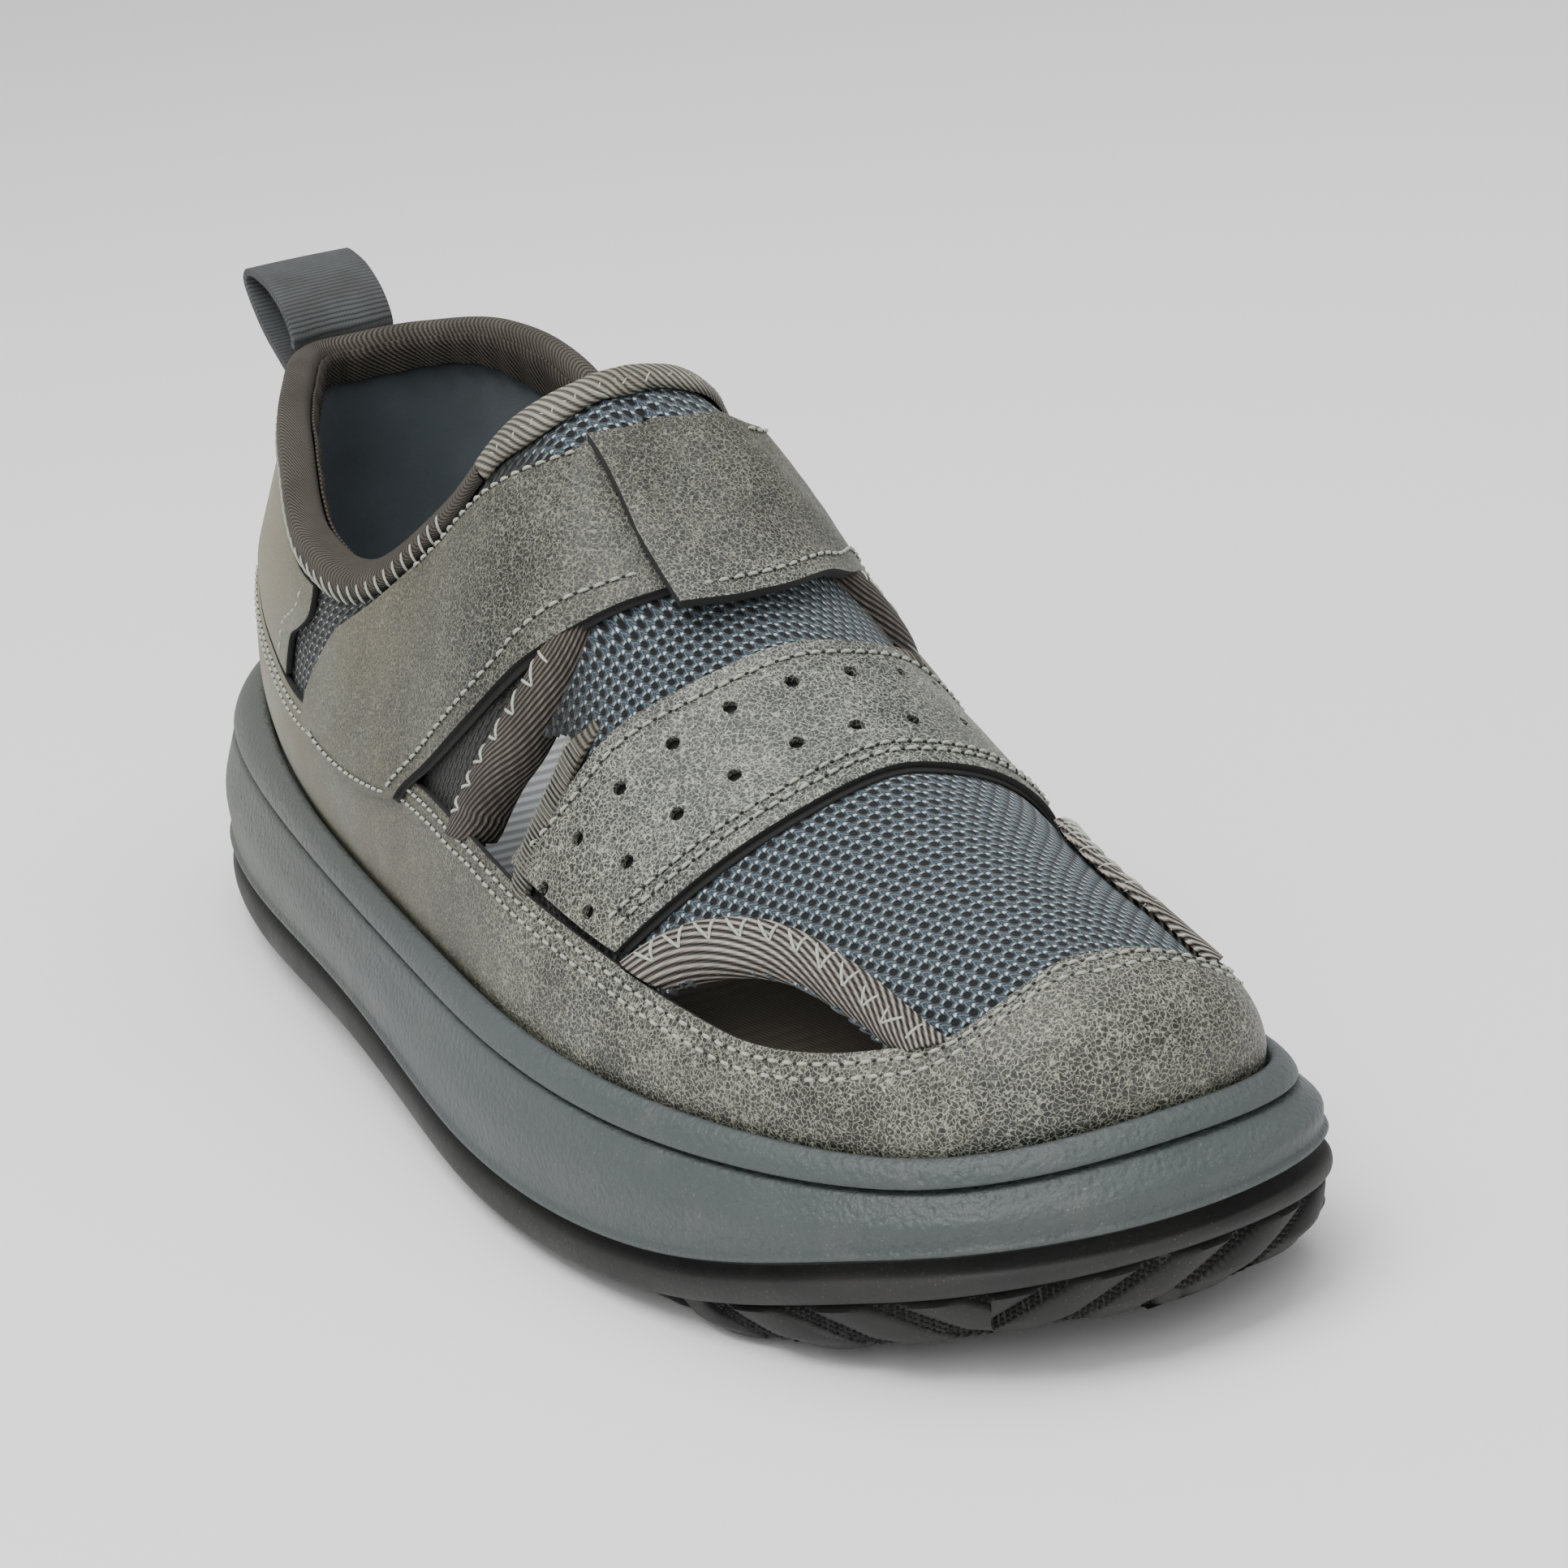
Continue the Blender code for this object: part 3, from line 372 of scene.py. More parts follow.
def thicken(obj, thickness, rim=0, inner=0, round_off=0.0):
    """Solidify inward; the rim and the inner side may take other materials."""
    mod = obj.modifiers.new("wall", "SOLIDIFY")
    mod.thickness, mod.offset = thickness, -1.0
    mod.material_offset_rim, mod.material_offset = rim, inner
    if round_off:
        bevel = obj.modifiers.new("soft edge", "BEVEL")
        bevel.width, bevel.segments = round_off, 2
        bevel.limit_method, bevel.angle_limit = "ANGLE", 0.9


def piece(obj, slot, *nodes):
    """Hangs a piece on the body and hides the nodes it stands for; the slot, meant for its
    finish, is not used.
    """
    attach(obj, "root")
    if nodes:
        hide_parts(*nodes)
    return obj


def bake_modifiers(obj):
    """Puts the result of an object's modifiers into its own mesh."""
    seen = bpy.context.evaluated_depsgraph_get()
    mesh = bpy.data.meshes.new_from_object(obj.evaluated_get(seen))
    obj.modifiers.clear()
    obj.data = mesh


# %% [markdown]
# ## Finishes
# Each material is a small graph of nodes. The class below only shortens the
# typing. Effects that several finishes share, the dust and the ribs, are node
# groups, built once and used with other numbers.
# %% A short way to write nodes
def srgb(red, green, blue):
    """Linear colour of an eight bit screen colour, by the usual power law."""
    c = np.array([red, green, blue]) / 255.0
    return tuple(np.where(c > 0.04045, ((c + 0.055) / 1.055) ** 2.4, c / 12.92)) + (1.0,)


def link_or_set(tree, sockets, inputs):
    """Another node's output is linked to its socket, a plain value is set."""
    for key, value in inputs.items():
        if isinstance(value, bpy.types.NodeSocket):
            tree.links.new(value, sockets[key])
        else:
            sockets[key].default_value = value


class Graph:
    """A node tree. Each method adds the node it is named after; mix also takes
    a colour as three numbers of eight bits."""
    def __init__(self, tree):
        self.tree = tree

    def node(self, kind, inputs=None, **settings):
        n = self.tree.nodes.new("ShaderNode" + kind)
        for key, value in settings.items():
            setattr(n, key, value)
        link_or_set(self.tree, n.inputs, inputs or {})
        return n

    def math(self, operation, *values, clamp=False):
        inputs = dict(enumerate(values))
        return self.node("Math", inputs, operation=operation, use_clamp=clamp).outputs[0]

    def add(self, a, b):
        return self.math("ADD", a, b)

    def sub(self, a, b):
        return self.math("SUBTRACT", a, b)

    def mul(self, a, b, **how):
        return self.math("MULTIPLY", a, b, **how)

    def madd(self, a, b, c):
        return self.math("MULTIPLY_ADD", a, b, c)

    def mix(self, factor, a, b, **how):
        a, b = [srgb(*value) if isinstance(value, tuple) else value for value in (a, b)]
        return self.node("Mix", {0: factor, 6: a, 7: b}, data_type="RGBA", **how).outputs[2]

    def multiply(self, factor, a, b):
        return self.mix(factor, a, b, blend_type="MULTIPLY")

    def noise(self, vector, scale, detail=2.0, rough=0.5):
        keys = {"Vector": vector, "Scale": scale, "Detail": detail, "Roughness": rough}
        return self.node("TexNoise", keys).outputs["Fac"]

    def cells(self, vector, scale, feature="DISTANCE_TO_EDGE"):
        keys = {"Vector": vector, "Scale": scale}
        return self.node("TexVoronoi", keys, feature=feature).outputs["Distance"]

    def smooth(self, value, low, high, start=0.0, end=1.0):
        keys = {0: value, 1: low, 2: high, 3: start, 4: end}
        return self.node("MapRange", keys, interpolation_type="SMOOTHSTEP").outputs[0]

    def bump(self, height, distance, strength=1.0):
        keys = {"Height": height, "Distance": distance, "Strength": strength}
        return self.node("Bump", keys).outputs[0]

    def xyz(self, vector):
        return tuple(self.node("SeparateXYZ", {0: vector}).outputs)


def group(name, inputs, outputs, build):
    """Node group with float and vector inputs; build returns its outputs."""
    tree = bpy.data.node_groups.new(name, "ShaderNodeTree")
    kinds = {"v": "NodeSocketVector", "f": "NodeSocketFloat"}
    for key, kind in inputs.items():
        tree.interface.new_socket(name=key, in_out="INPUT", socket_type=kinds[kind])
    for key in outputs:
        tree.interface.new_socket(name=key, in_out="OUTPUT", socket_type="NodeSocketFloat")
    g = Graph(tree)
    source = tree.nodes.new("NodeGroupInput")
    result = build(g, {key: source.outputs[key] for key in inputs})
    sink = tree.nodes.new("NodeGroupOutput")
    for key, value in zip(outputs, result):
        tree.links.new(value, sink.inputs[key])
    return tree


def use(g, tree, **inputs):
    """Places a group and gives back its outputs."""
    n = g.tree.nodes.new("ShaderNodeGroup")
    n.node_tree = tree
    link_or_set(g.tree, n.inputs, inputs)
    return list(n.outputs)


def finish(name, build, **fixed):
    """Material whose graph returns colour, roughness and normal."""
    mat = bpy.data.materials.new(name)
    mat.use_nodes = True
    g = Graph(mat.node_tree)
    shader = mat.node_tree.nodes["Principled BSDF"]
    place = g.node("TexCoord")
    inputs = {key.replace("_", " "): value for key, value in fixed.items()}
    result = build(g, place.outputs["Object"], place.outputs["UV"])
    inputs.update(zip(("Base Color", "Roughness", "Normal"), result))
    if inputs["Normal"] is None:
        del inputs["Normal"]
    link_or_set(mat.node_tree, shader.inputs, inputs)
    return mat


# %% The shared groups
def build_dust(g, inp):
    """Fine pale specks: high noise above a limit, in patches of low noise."""
    fine = g.noise(inp["Vector"], 2600.0, 1.0)
    patch = g.noise(inp["Vector"], inp["Patches"], 3.0, 0.6)
    level = g.madd(patch, 0.25, fine)
    return (g.smooth(level, 0.80, 0.92), g.smooth(patch, 0.35, 0.75))


def build_ribs(g, inp):
    """Rounded ribs across a slanted line, each with a fine twist of yarn."""
    x, y, _ = g.xyz(inp["Vector"])
    wobble = g.madd(g.noise(inp["Vector"], 160.0, 2.0), 0.0006, -0.0003)
    along = g.add(g.madd(y, inp["Slant"], x), wobble)
    phase = g.mul(g.math("DIVIDE", along, inp["Pitch"]), np.pi)
    rib = g.math("ABSOLUTE", g.math("SINE", phase))
    twist = g.add(g.mul(phase, 2.0), g.mul(y, 9000.0))
    yarn = g.madd(g.math("SINE", twist), 0.5, 0.5)
    return rib, yarn, g.madd(yarn, 0.12, rib)


DUST = group("dust", {"Vector": "v", "Patches": "f"}, ("Specks", "Patch"), build_dust)
RIBS = group("ribs", {"Vector": "v", "Pitch": "f", "Slant": "f"},
             ("Rib", "Yarn", "Height"), build_ribs)
print("groups:", DUST.name, RIBS.name)

# %% [markdown]
# ### Coated leather
# The panels are a coated split leather. A pale net of wrinkles lies over dark
# pits under a millimetre across. Cells bent by noise give the net, folded noise
# adds winding lines, finer noise breaks both up, and slow noise makes patches
# where it is worn paler. Towards the heel the net fades. Near the sole and at
# the heel it is browner with dust, and at the waist a painted shade darkens it.
# %% Leather
def build_leather(g, place, uv):
    """Net, winding lines and pits mixed by weights, then wear, soil, a painted shade at the
    waist, and dust.
    """
    bent = g.node("TexNoise", {"Vector": place, "Scale": 900.0, "Detail": 1.0}).outputs["Color"]
    push = g.node("VectorMath", {0: bent, 1: (0.0014, 0.0014, 0.0014)}, operation="MULTIPLY")
    vector = g.node("VectorMath", {0: place, 1: push.outputs[0]}, operation="ADD").outputs[0]
    fine = g.noise(vector, 2100.0, 2.0, 0.6)
    edge = g.madd(fine, 0.30, g.cells(vector, 1250.0))
    net = g.smooth(edge, 0.05, 0.31, 1.0, 0.0)
    worm = g.math("ABSOLUTE", g.sub(g.noise(vector, 1150.0, 2.5, 0.62), 0.5))
    worm = g.smooth(worm, 0.015, 0.085, 1.0, 0.0)
    patch = g.noise(place, 75.0, 4.0, 0.65)
    level = g.madd(worm, 0.12, g.madd(net, 0.72, g.mul(fine, 0.50)))
    light = g.smooth(g.madd(patch, 0.45, level), 0.42, 1.24)
    _, y, z = g.xyz(place)
    far = g.smooth(y, 0.10, 0.0, 0.0, 0.65)
    light = g.add(g.mul(light, g.sub(1.0, far)), g.mul(far, 0.70))
    grey = g.mix(light, (32, 36, 34), (178, 181, 167))
    brown = g.mix(light, (42, 38, 29), (158, 151, 123))
    rear = g.smooth(y, 0.16, 0.02)
    low = g.smooth(z, 0.070, 0.040)
    stain = g.smooth(g.noise(place, 35.0, 3.0), 0.15, 0.55)
    soil = g.mul(g.add(g.mul(rear, 0.9), g.mul(low, 0.30)), stain, clamp=True)
    color = g.mix(soil, grey, brown)
    # Painted shade: the leather at the waist, round the ankle strap, is multiplied darker.
    waist = g.mul(g.smooth(y, 0.134, 0.112), g.smooth(y, -0.015, 0.035))
    color = g.multiply(waist, color, (205, 205, 202))
    specks = use(g, DUST, Vector=place, Patches=45.0)[0]
    color = g.mix(g.mul(specks, 0.25), color, (170, 166, 150))
    height = g.madd(net, 0.4, g.madd(worm, 0.3, g.mul(fine, 0.7)))
    return color, g.smooth(light, 0.0, 1.0, 0.46, 0.60), g.bump(height, 0.00020, 0.7)


leather = finish("leather_worn", build_leather, Specular_IOR_Level=0.5)


def build_edge(g, place, uv):
    """Dark fibre by high noise."""
    fibre = g.noise(place, 1800.0, 3.0, 0.7)
    return g.mix(fibre, (14, 15, 15), (40, 41, 39)), 0.9, g.bump(fibre, 0.0002, 0.6)


cut_edge = finish("cut_edge_dark", build_edge)
print("leather ready")

# %% [markdown]
# ### Air mesh
# The upper is a spacer knit: rows of dark openings, each row slid by about a
# third of an opening, with a soft painted highlight on a knot and a bright painted highlight on
# a stroke of yarn in each cell.
# The map coordinates are in metres, so one cell is drawn once and repeated. A
# sine of folded coordinates draws the slanting strands.
# %% Mesh and lining
MESH_GIRTH = 2.15 * MM
MESH_AHEAD = 2.06 * MM
MESH_SHEAR = 0.35


def build_mesh_knit(g, place, uv):
    """One cell, drawn in the fractional parts of its row and column."""
    x, y, _ = g.xyz(uv)
    jitter = g.madd(g.noise(uv, 420.0, 2.0), 0.20, -0.10)
    row = g.add(g.math("DIVIDE", x, MESH_AHEAD), jitter)
    slid = g.madd(x, MESH_SHEAR, y)
    col = g.add(g.math("DIVIDE", slid, MESH_GIRTH), jitter)
    a = g.sub(g.math("FRACT", col), 0.5)
    b = g.sub(g.math("FRACT", row), 0.5)

    def spot(across, ahead, at_a, at_b, low, high):
        """1 inside an ellipse of the cell, 0 outside."""
        away = [g.math("POWER", g.math("DIVIDE", g.sub(v, at), size), 2.0)
                for v, at, size in ((a, at_a, across), (b, at_b, ahead))]
        return g.smooth(g.math("SQRT", g.add(*away)), low, high, 1.0, 0.0)

    hole = spot(0.34, 0.42, 0.0, 0.05, 0.60, 1.05)
    # Painted highlights: a soft one on a knot and a bright one on a stroke of yarn between the
    # holes.
    knot_highlight = spot(0.24, 0.13, -0.08, -0.40, 0.3, 1.2)
    wide = g.sub(0.5, g.math("ABSOLUTE", a))
    stroke_highlight = g.mul(g.smooth(wide, 0.06, 0.16, 1.0, 0.0),
                    g.smooth(g.math("ABSOLUTE", g.add(b, 0.18)), 0.04, 0.15, 1.0, 0.0))
    chevron = g.add(g.mul(g.math("ABSOLUTE", a), 26.0), g.mul(b, 15.0))
    strand = g.math("SINE", chevron)
    fuzz = g.noise(uv, 3500.0, 2.0, 0.7)
    tone = g.madd(strand, 0.38, fuzz)
    yarn = g.mix(tone, (18, 26, 32), (94, 110, 120))
    yarn = g.mix(g.mul(knot_highlight, 0.8), yarn, (168, 184, 187))
    yarn = g.mix(g.mul(stroke_highlight, 0.9), yarn, (226, 233, 233))
    # Painted shade: low on the quarter the knit is multiplied by a brown tint, partly its own
    # browner yarn and partly painted shade. The pocket between the ankle strap and the quarter
    # tape gets more painted shade.
    _, ahead, up = g.xyz(place)
    level = g.madd(g.sub(ahead, 0.10), 0.9, up)
    yarn = g.multiply(g.smooth(level, 0.105, 0.082), yarn, (205, 194, 180))
    shade = g.mul(g.smooth(ahead, 0.07, 0.085), g.smooth(level, 0.104, 0.090))
    yarn = g.multiply(shade, yarn, (104, 98, 92))
    color = g.mix(hole, yarn, (3, 4, 6))
    height = g.sub(g.madd(strand, 0.10, g.mul(knot_highlight, 0.35)), hole)
    return color, 0.8, g.bump(height, 0.00055, 0.9)


mesh_knit = finish("mesh_knit", build_mesh_knit, Sheen_Weight=0.1, Specular_IOR_Level=0.35)


def build_lining(g, place, uv):
    """Slow patches under a fine nap."""
    nap = g.noise(place, 2600.0, 3.0, 0.7)
    slow = g.noise(place, 70.0, 3.0)
    color = g.mix(slow, (58, 64, 67), (92, 101, 105))
    return g.mix(g.mul(nap, 0.4), color, (78, 88, 94)), 0.95, g.bump(nap, 0.0003, 0.5)


lining = finish("lining_slate", build_lining, Sheen_Weight=0.3, Specular_IOR_Level=0.2)
print("mesh cell", MESH_GIRTH / MM, "by", MESH_AHEAD / MM, "mm")

# %% [markdown]
# ### Ribbed bindings, webbing and footbed
# A binding is a bias-cut ribbed tape, so its ribs slant. The same rib group also
# draws the cross ribs of the heel loop and the ribs of the footbed, with other
# pitches, slants and colours.
# %% Ribbed finishes
def ribbed(name, pitch, slant, valley, ridge, depth):
    """Ribs from valley to ridge colour, patches of dirt and a little fluff."""
    def build(g, place, uv):
        rib, yarn, height = use(g, RIBS, Vector=uv, Pitch=pitch, Slant=slant)
        tone = g.madd(yarn, 0.20, g.smooth(rib, 0.38, 0.98, 0.0, 0.80))
        color = g.mix(tone, valley, ridge)
        tone_mask = g.noise(place, 90.0, 3.0, 0.6)
        color = g.multiply(g.smooth(tone_mask, 0.3, 0.7, 0.45, 0.0), color, (150, 140, 128))
        fluff = g.noise(place, 3000.0, 2.0, 0.7)
        color = g.mix(g.smooth(fluff, 0.55, 0.85, 0.0, 0.35), color, ridge)
        return color, 0.85, g.bump(height, depth, 0.9)
    return finish(name, build)


tape_collar = ribbed("tape_collar", 0.95 * MM, 0.55, (44, 39, 34), (90, 84, 75), 0.0003)
tape_quarter = ribbed("tape_quarter", 3.4 * MM, 3.2, (28, 24, 21), (112, 104, 95), 0.0009)
tape_vamp = ribbed("tape_vamp", 0.9 * MM, 0.25, (48, 45, 39), (128, 122, 109), 0.0004)
tape_window = ribbed("tape_window", 1.35 * MM, 0.80, (10, 8, 7), (186, 178, 167), 0.0014)
tape_tongue = ribbed("tape_tongue", 1.5 * MM, 0.45, (66, 64, 56), (160, 157, 144), 0.0005)
# The flap's tape is a darker copy of the collar tape: partly the tape's own brown, partly
# painted shade for the inside of the collar.
tape_flap = ribbed("tape_flap", 1.1 * MM, 0.20, (26, 22, 18), (80, 72, 62), 0.0006)
webbing = ribbed("webbing_heel", 0.85 * MM, 0.02, (58, 61, 62), (80, 83, 84), 0.00016)


def build_footbed(g, place, uv):
    """Pale ribs under the waist, dark under the toes."""
    rib, yarn, height = use(g, RIBS, Vector=uv, Pitch=3.4 * MM, Slant=0.0)
    tone_mask = g.smooth(g.xyz(place)[1], 0.115, 0.145)
    pale = g.mix(g.smooth(rib, 0.5, 0.95), (132, 135, 135), (172, 176, 176))
    dark = g.mix(yarn, (112, 104, 92), (150, 140, 126))
    return g.mix(tone_mask, pale, dark), 0.9, g.bump(height, 0.0004, 0.6)


footbed = finish("footbed_ribbed", build_footbed)


def twisted(name, low, high, rough):
    """Thread: fluff by high noise, from the dark colour to the light one."""
    def build(g, place, uv):
        fluff = g.noise(place, 2500.0, 2.0)
        return g.mix(fluff, low, high), rough, g.bump(fluff, 0.0001, 0.5)
    return finish(name, build)


thread = twisted("thread_pale", (128, 132, 120), (196, 200, 188), 0.7)
thread_dull = twisted("thread_dull", (70, 72, 65), (138, 140, 130), 0.75)
print("ribbed finishes ready")

# %% [markdown]
# ### Foam and rubber
# The midsole is moulded foam with an orange-peel skin. The outsole is dark
# rubber. Both carry dust.
# %% Foam and rubber
def build_foam(g, place, uv):
    """Orange peel with pores, browner at the rear, with smudges and dust."""
    peel = g.noise(place, 900.0, 2.0, 0.55)
    pores = g.smooth(g.cells(place, 700.0, "F1"), 0.0, 0.55)
    slow = g.noise(place, 28.0, 4.0, 0.6)
    color = g.mix(slow, (60, 67, 67), (82, 88, 88))
    rear = g.smooth(g.xyz(place)[1], 0.12, -0.02, 0.0, 0.5)
    color = g.mix(rear, color, (82, 83, 75))
    smudge = g.smooth(g.noise(place, 60.0, 3.0, 0.65), 0.52, 0.72)
    color = g.mix(g.mul(smudge, 0.22), color, (101, 103, 95))
    specks = use(g, DUST, Vector=place, Patches=60.0)[0]
    color = g.mix(g.mul(specks, 0.4), color, (136, 137, 129))
    height = g.madd(pores, 0.35, peel)
    rough = g.smooth(slow, 0.3, 0.7, 0.46, 0.60)
    return color, rough, g.bump(height, 0.00045, 0.85)


foam = finish("foam_pebbled", build_foam, Specular_IOR_Level=0.4)


def build_rubber(g, place, uv):
    """Dark rubber under a film and specks of dust."""
    peel = g.noise(place, 1300.0, 2.0)
    slow = g.noise(place, 40.0, 4.0, 0.6)
    color = g.mix(slow, (25, 26, 26), (45, 45, 44))
    specks, patch = use(g, DUST, Vector=place, Patches=50.0)
    film = g.mul(patch, 0.16)
    color = g.mix(film, color, (72, 70, 65))
    color = g.mix(g.mul(specks, 0.35), color, (103, 100, 92))
    return color, g.smooth(slow, 0.3, 0.7, 0.55, 0.75), g.bump(peel, 0.00014, 0.6)


rubber = finish("rubber_dusty", build_rubber, Specular_IOR_Level=0.4)
print("materials:", len(bpy.data.materials))

# %% [markdown]
# ## The sole
# The midsole is one block of foam. Its side has a rounded rim, a narrow groove,
# a bowed wall and a thin lip over the outsole. All of these are rings round the
# same outline, at an inset and a height of their own, so the block is a grid of
# rings by places round the foot, closed by rungs across the sole.
# %% Rings round the outline
AROUND = 420


def ring_points(t, rings):
    """Outline moved in by each inset and lifted to each height."""
    flat, out = outline(t), outward(t)
    points = [np.concatenate([flat - out * (0 * t + inset)[:, None],
                              (0 * t + height)[:, None]], -1) for inset, height in rings]
    return np.stack(points, 1)


def rungs(base, count, flip):
    """Quads that join each place on one side with the place across from it."""
    half = count // 2
    i = np.arange(1, half - 1)
    quads = np.stack([i, i + 1, count - i - 1, count - i], -1)
    ends = np.array([[0, 1, count - 1, count - 1], [half - 1, half, half + 1, half + 1]])
    faces = np.concatenate([ends, quads]) + base
    return faces[:, ::-1] if flip else faces


def face_outward(work):
    """Turns every face of a closed block to its outer side."""
    bmesh.ops.recalc_face_normals(work, faces=work.faces)


def ring_block(name, rings, mats, count=AROUND):
    """Closed block: rings joined to each other, first and last ring capped."""
    t = np.arange(count) / (count / 2)
    pts = ring_points(t, rings).transpose(1, 0, 2)
    k, i = np.meshgrid(np.arange(len(rings) - 1), np.arange(count), indexing="ij")
    j = (i + 1) % count
    side = [k * count + i, (k + 1) * count + i, (k + 1) * count + j, k * count + j]
    faces = np.concatenate([np.stack(side, -1).reshape(-1, 4), rungs(0, count, False),
                            rungs((len(rings) - 1) * count, count, True)])
    faces = [list(dict.fromkeys(face)) for face in faces.tolist()]
    uv = np.stack(np.broadcast_arrays(np.arange(len(rings))[:, None] * 2.0 * MM, t * 0.3), -1)
    obj = make_object(name, pts, faces, mats, uv, face_outward)
    obj.data.set_sharp_from_angle(angle=1.0)
    return obj


# %% Midsole
t = np.arange(AROUND) / (AROUND / 2)
rim, groove, lip = [sole_height(k, t) for k in (1, 2, 3)]
slope = column(WALL, 2, to_p(t)) * BALL_WIDTH / (column(WALL, 3, to_p(t)) * INSTEP_HEIGHT)
seat = foot_inset(t) - SEAT_GAP
mouth = seat - FOOT_SINK * slope - 0.1 * MM
crest, shoulder = mouth - 1.0 * MM, groove + 0.45 * MM
rings = [(seat, rim - FOOT_SINK - SEAT_GAP), (mouth, rim - 0.5 * MM),
         (mouth - 0.4 * MM, rim - 0.12 * MM)]
for turn in np.radians(np.linspace(88, 8, 13)):
    rings.append((crest + (GROOVE_INSET - crest) * np.cos(turn) ** 1.35,
                  shoulder + (rim - shoulder) * np.sin(turn) ** 1.25))
rings += [(GROOVE_INSET + 0.15 * MM, shoulder), (GROOVE_INSET + 0.9 * MM, groove + 0.35 * MM),
          (GROOVE_INSET + 2.6 * MM, groove), (GROOVE_INSET + 0.9 * MM, groove - 0.50 * MM),
          (GROOVE_INSET + 0.1 * MM, groove - 0.6 * MM)]
start, end = groove - 0.9 * MM, lip + 1.3 * MM
for share in np.linspace(0, 1, 11):
    bow = 0.9 * MM * np.sin(np.pi * share) + 0.5 * MM * np.sin(np.pi * share) ** 3
    rings.append((GROOVE_INSET - 0.25 * MM - (GROOVE_INSET + 0.4 * MM) * share - bow,
                  start + (end - start) * share))
rings += [(-LIP_OUT, lip + 0.9 * MM), (-LIP_OUT - 0.15 * MM, lip + 0.45 * MM),
          (-LIP_OUT + 0.1 * MM, lip + 0.1 * MM), (0.0, lip), (1.0 * MM, lip)]
midsole = piece(ring_block("midsole_foam", rings, [foam]), "foam_slate", "midsole")
print("midsole faces:", len(midsole.data.polygons))

# %% [markdown]
# The outsole shows a shadow strip under the lip, a rounded band, and then the
# tread. Along the edge the tread is like a twisted rope: slanting rounded strands
# with three fine grooves beside each. At one place of the outline the slant turns
# round. Underneath are side lugs and centre pads with channels between them. All
# of it is one height field over the place round the sole and the way from the
# band to the middle. The columns are closest together at the toe.
# %% Outsole
WEDGE = 15.0 * MM
FLIP_AT = 0.888  # place round the sole where the strands change their slant
ROPE_LEAN = -2.2, 2.3  # run of a strand per depth, before that place and after it
HUMP, GROOVES, GROOVE_WIDTH = 0.62, (0.67, 0.79, 0.91), 0.032  # shares of a strand
LUG_PITCH = 0.0545  # share of the length
OUTSOLE_GRID = 1100, 18, 22  # columns, rows down the edge, rows to the middle


def tread_base(share):
    """Underside of the lugs at a share of the length, never below the floor."""
    rows = np.array(TREAD)
    m = slopes(rows[:, 0], rows[:, 1], False, False)
    return np.maximum(cubic(rows[:, 0], rows[:, 1], m, np.clip(share, 0, 1)), 0.0) * HEEL_STACK


def step(x, low, high):
    """Smooth step from 0 to 1."""
    u = np.clip((x - low) / (high - low), 0, 1)
    return u * u * (3 - 2 * u)


def toe_dense(count):
    """Steps round the outline, closest together at the toe."""
    u = np.arange(count + 1) / (count / 2)
    return u + 0.55 / np.pi * np.sin(np.pi * u)


def rope(run, down, lean):
    """Strands: a rounded hump along a slanted line, with fine grooves beside it."""
    phase = np.mod((run + lean * down) / WEDGE, 1.0)
    swell = np.sin(np.pi * np.clip(phase / HUMP, 0, 1)) ** 0.6
    fine = sum(np.exp(-((phase - at) / GROOVE_WIDTH) ** 2) for at in GROOVES)
    return 0.32 * swell + 0.68 - 0.45 * fine


def stretch(x, low, high, soft):
    """1 between low and high, 0 outside, with a soft edge."""
    return step(x, low, low + soft) * (1 - step(x, high, high + soft))


def lug_pattern(share, across):
    """1 on a lug and 0 in a channel; across runs 0 at the edge to 1 inside."""
    side = np.mod((share + 0.045 * across) / LUG_PITCH, 1.0)
    centre = np.mod((share + 0.5 * LUG_PITCH) / LUG_PITCH, 1.0)
    inside = step(across, 0.62, 0.66)
    on_side = stretch(side, 0.02, 0.80, 0.06) * (1 - step(across, 0.52, 0.56))
    solid = stretch(share, 0.125, 0.255, 0.005) + stretch(share, 0.613, 0.672, 0.005)
    on_mid = np.maximum(stretch(centre, 0.02, 0.80, 0.06), solid) * inside
    waist = stretch(share, 0.30, 0.45, 0.04)
    return np.maximum(np.maximum(on_side, on_mid) * (1 - waist), 0.0)


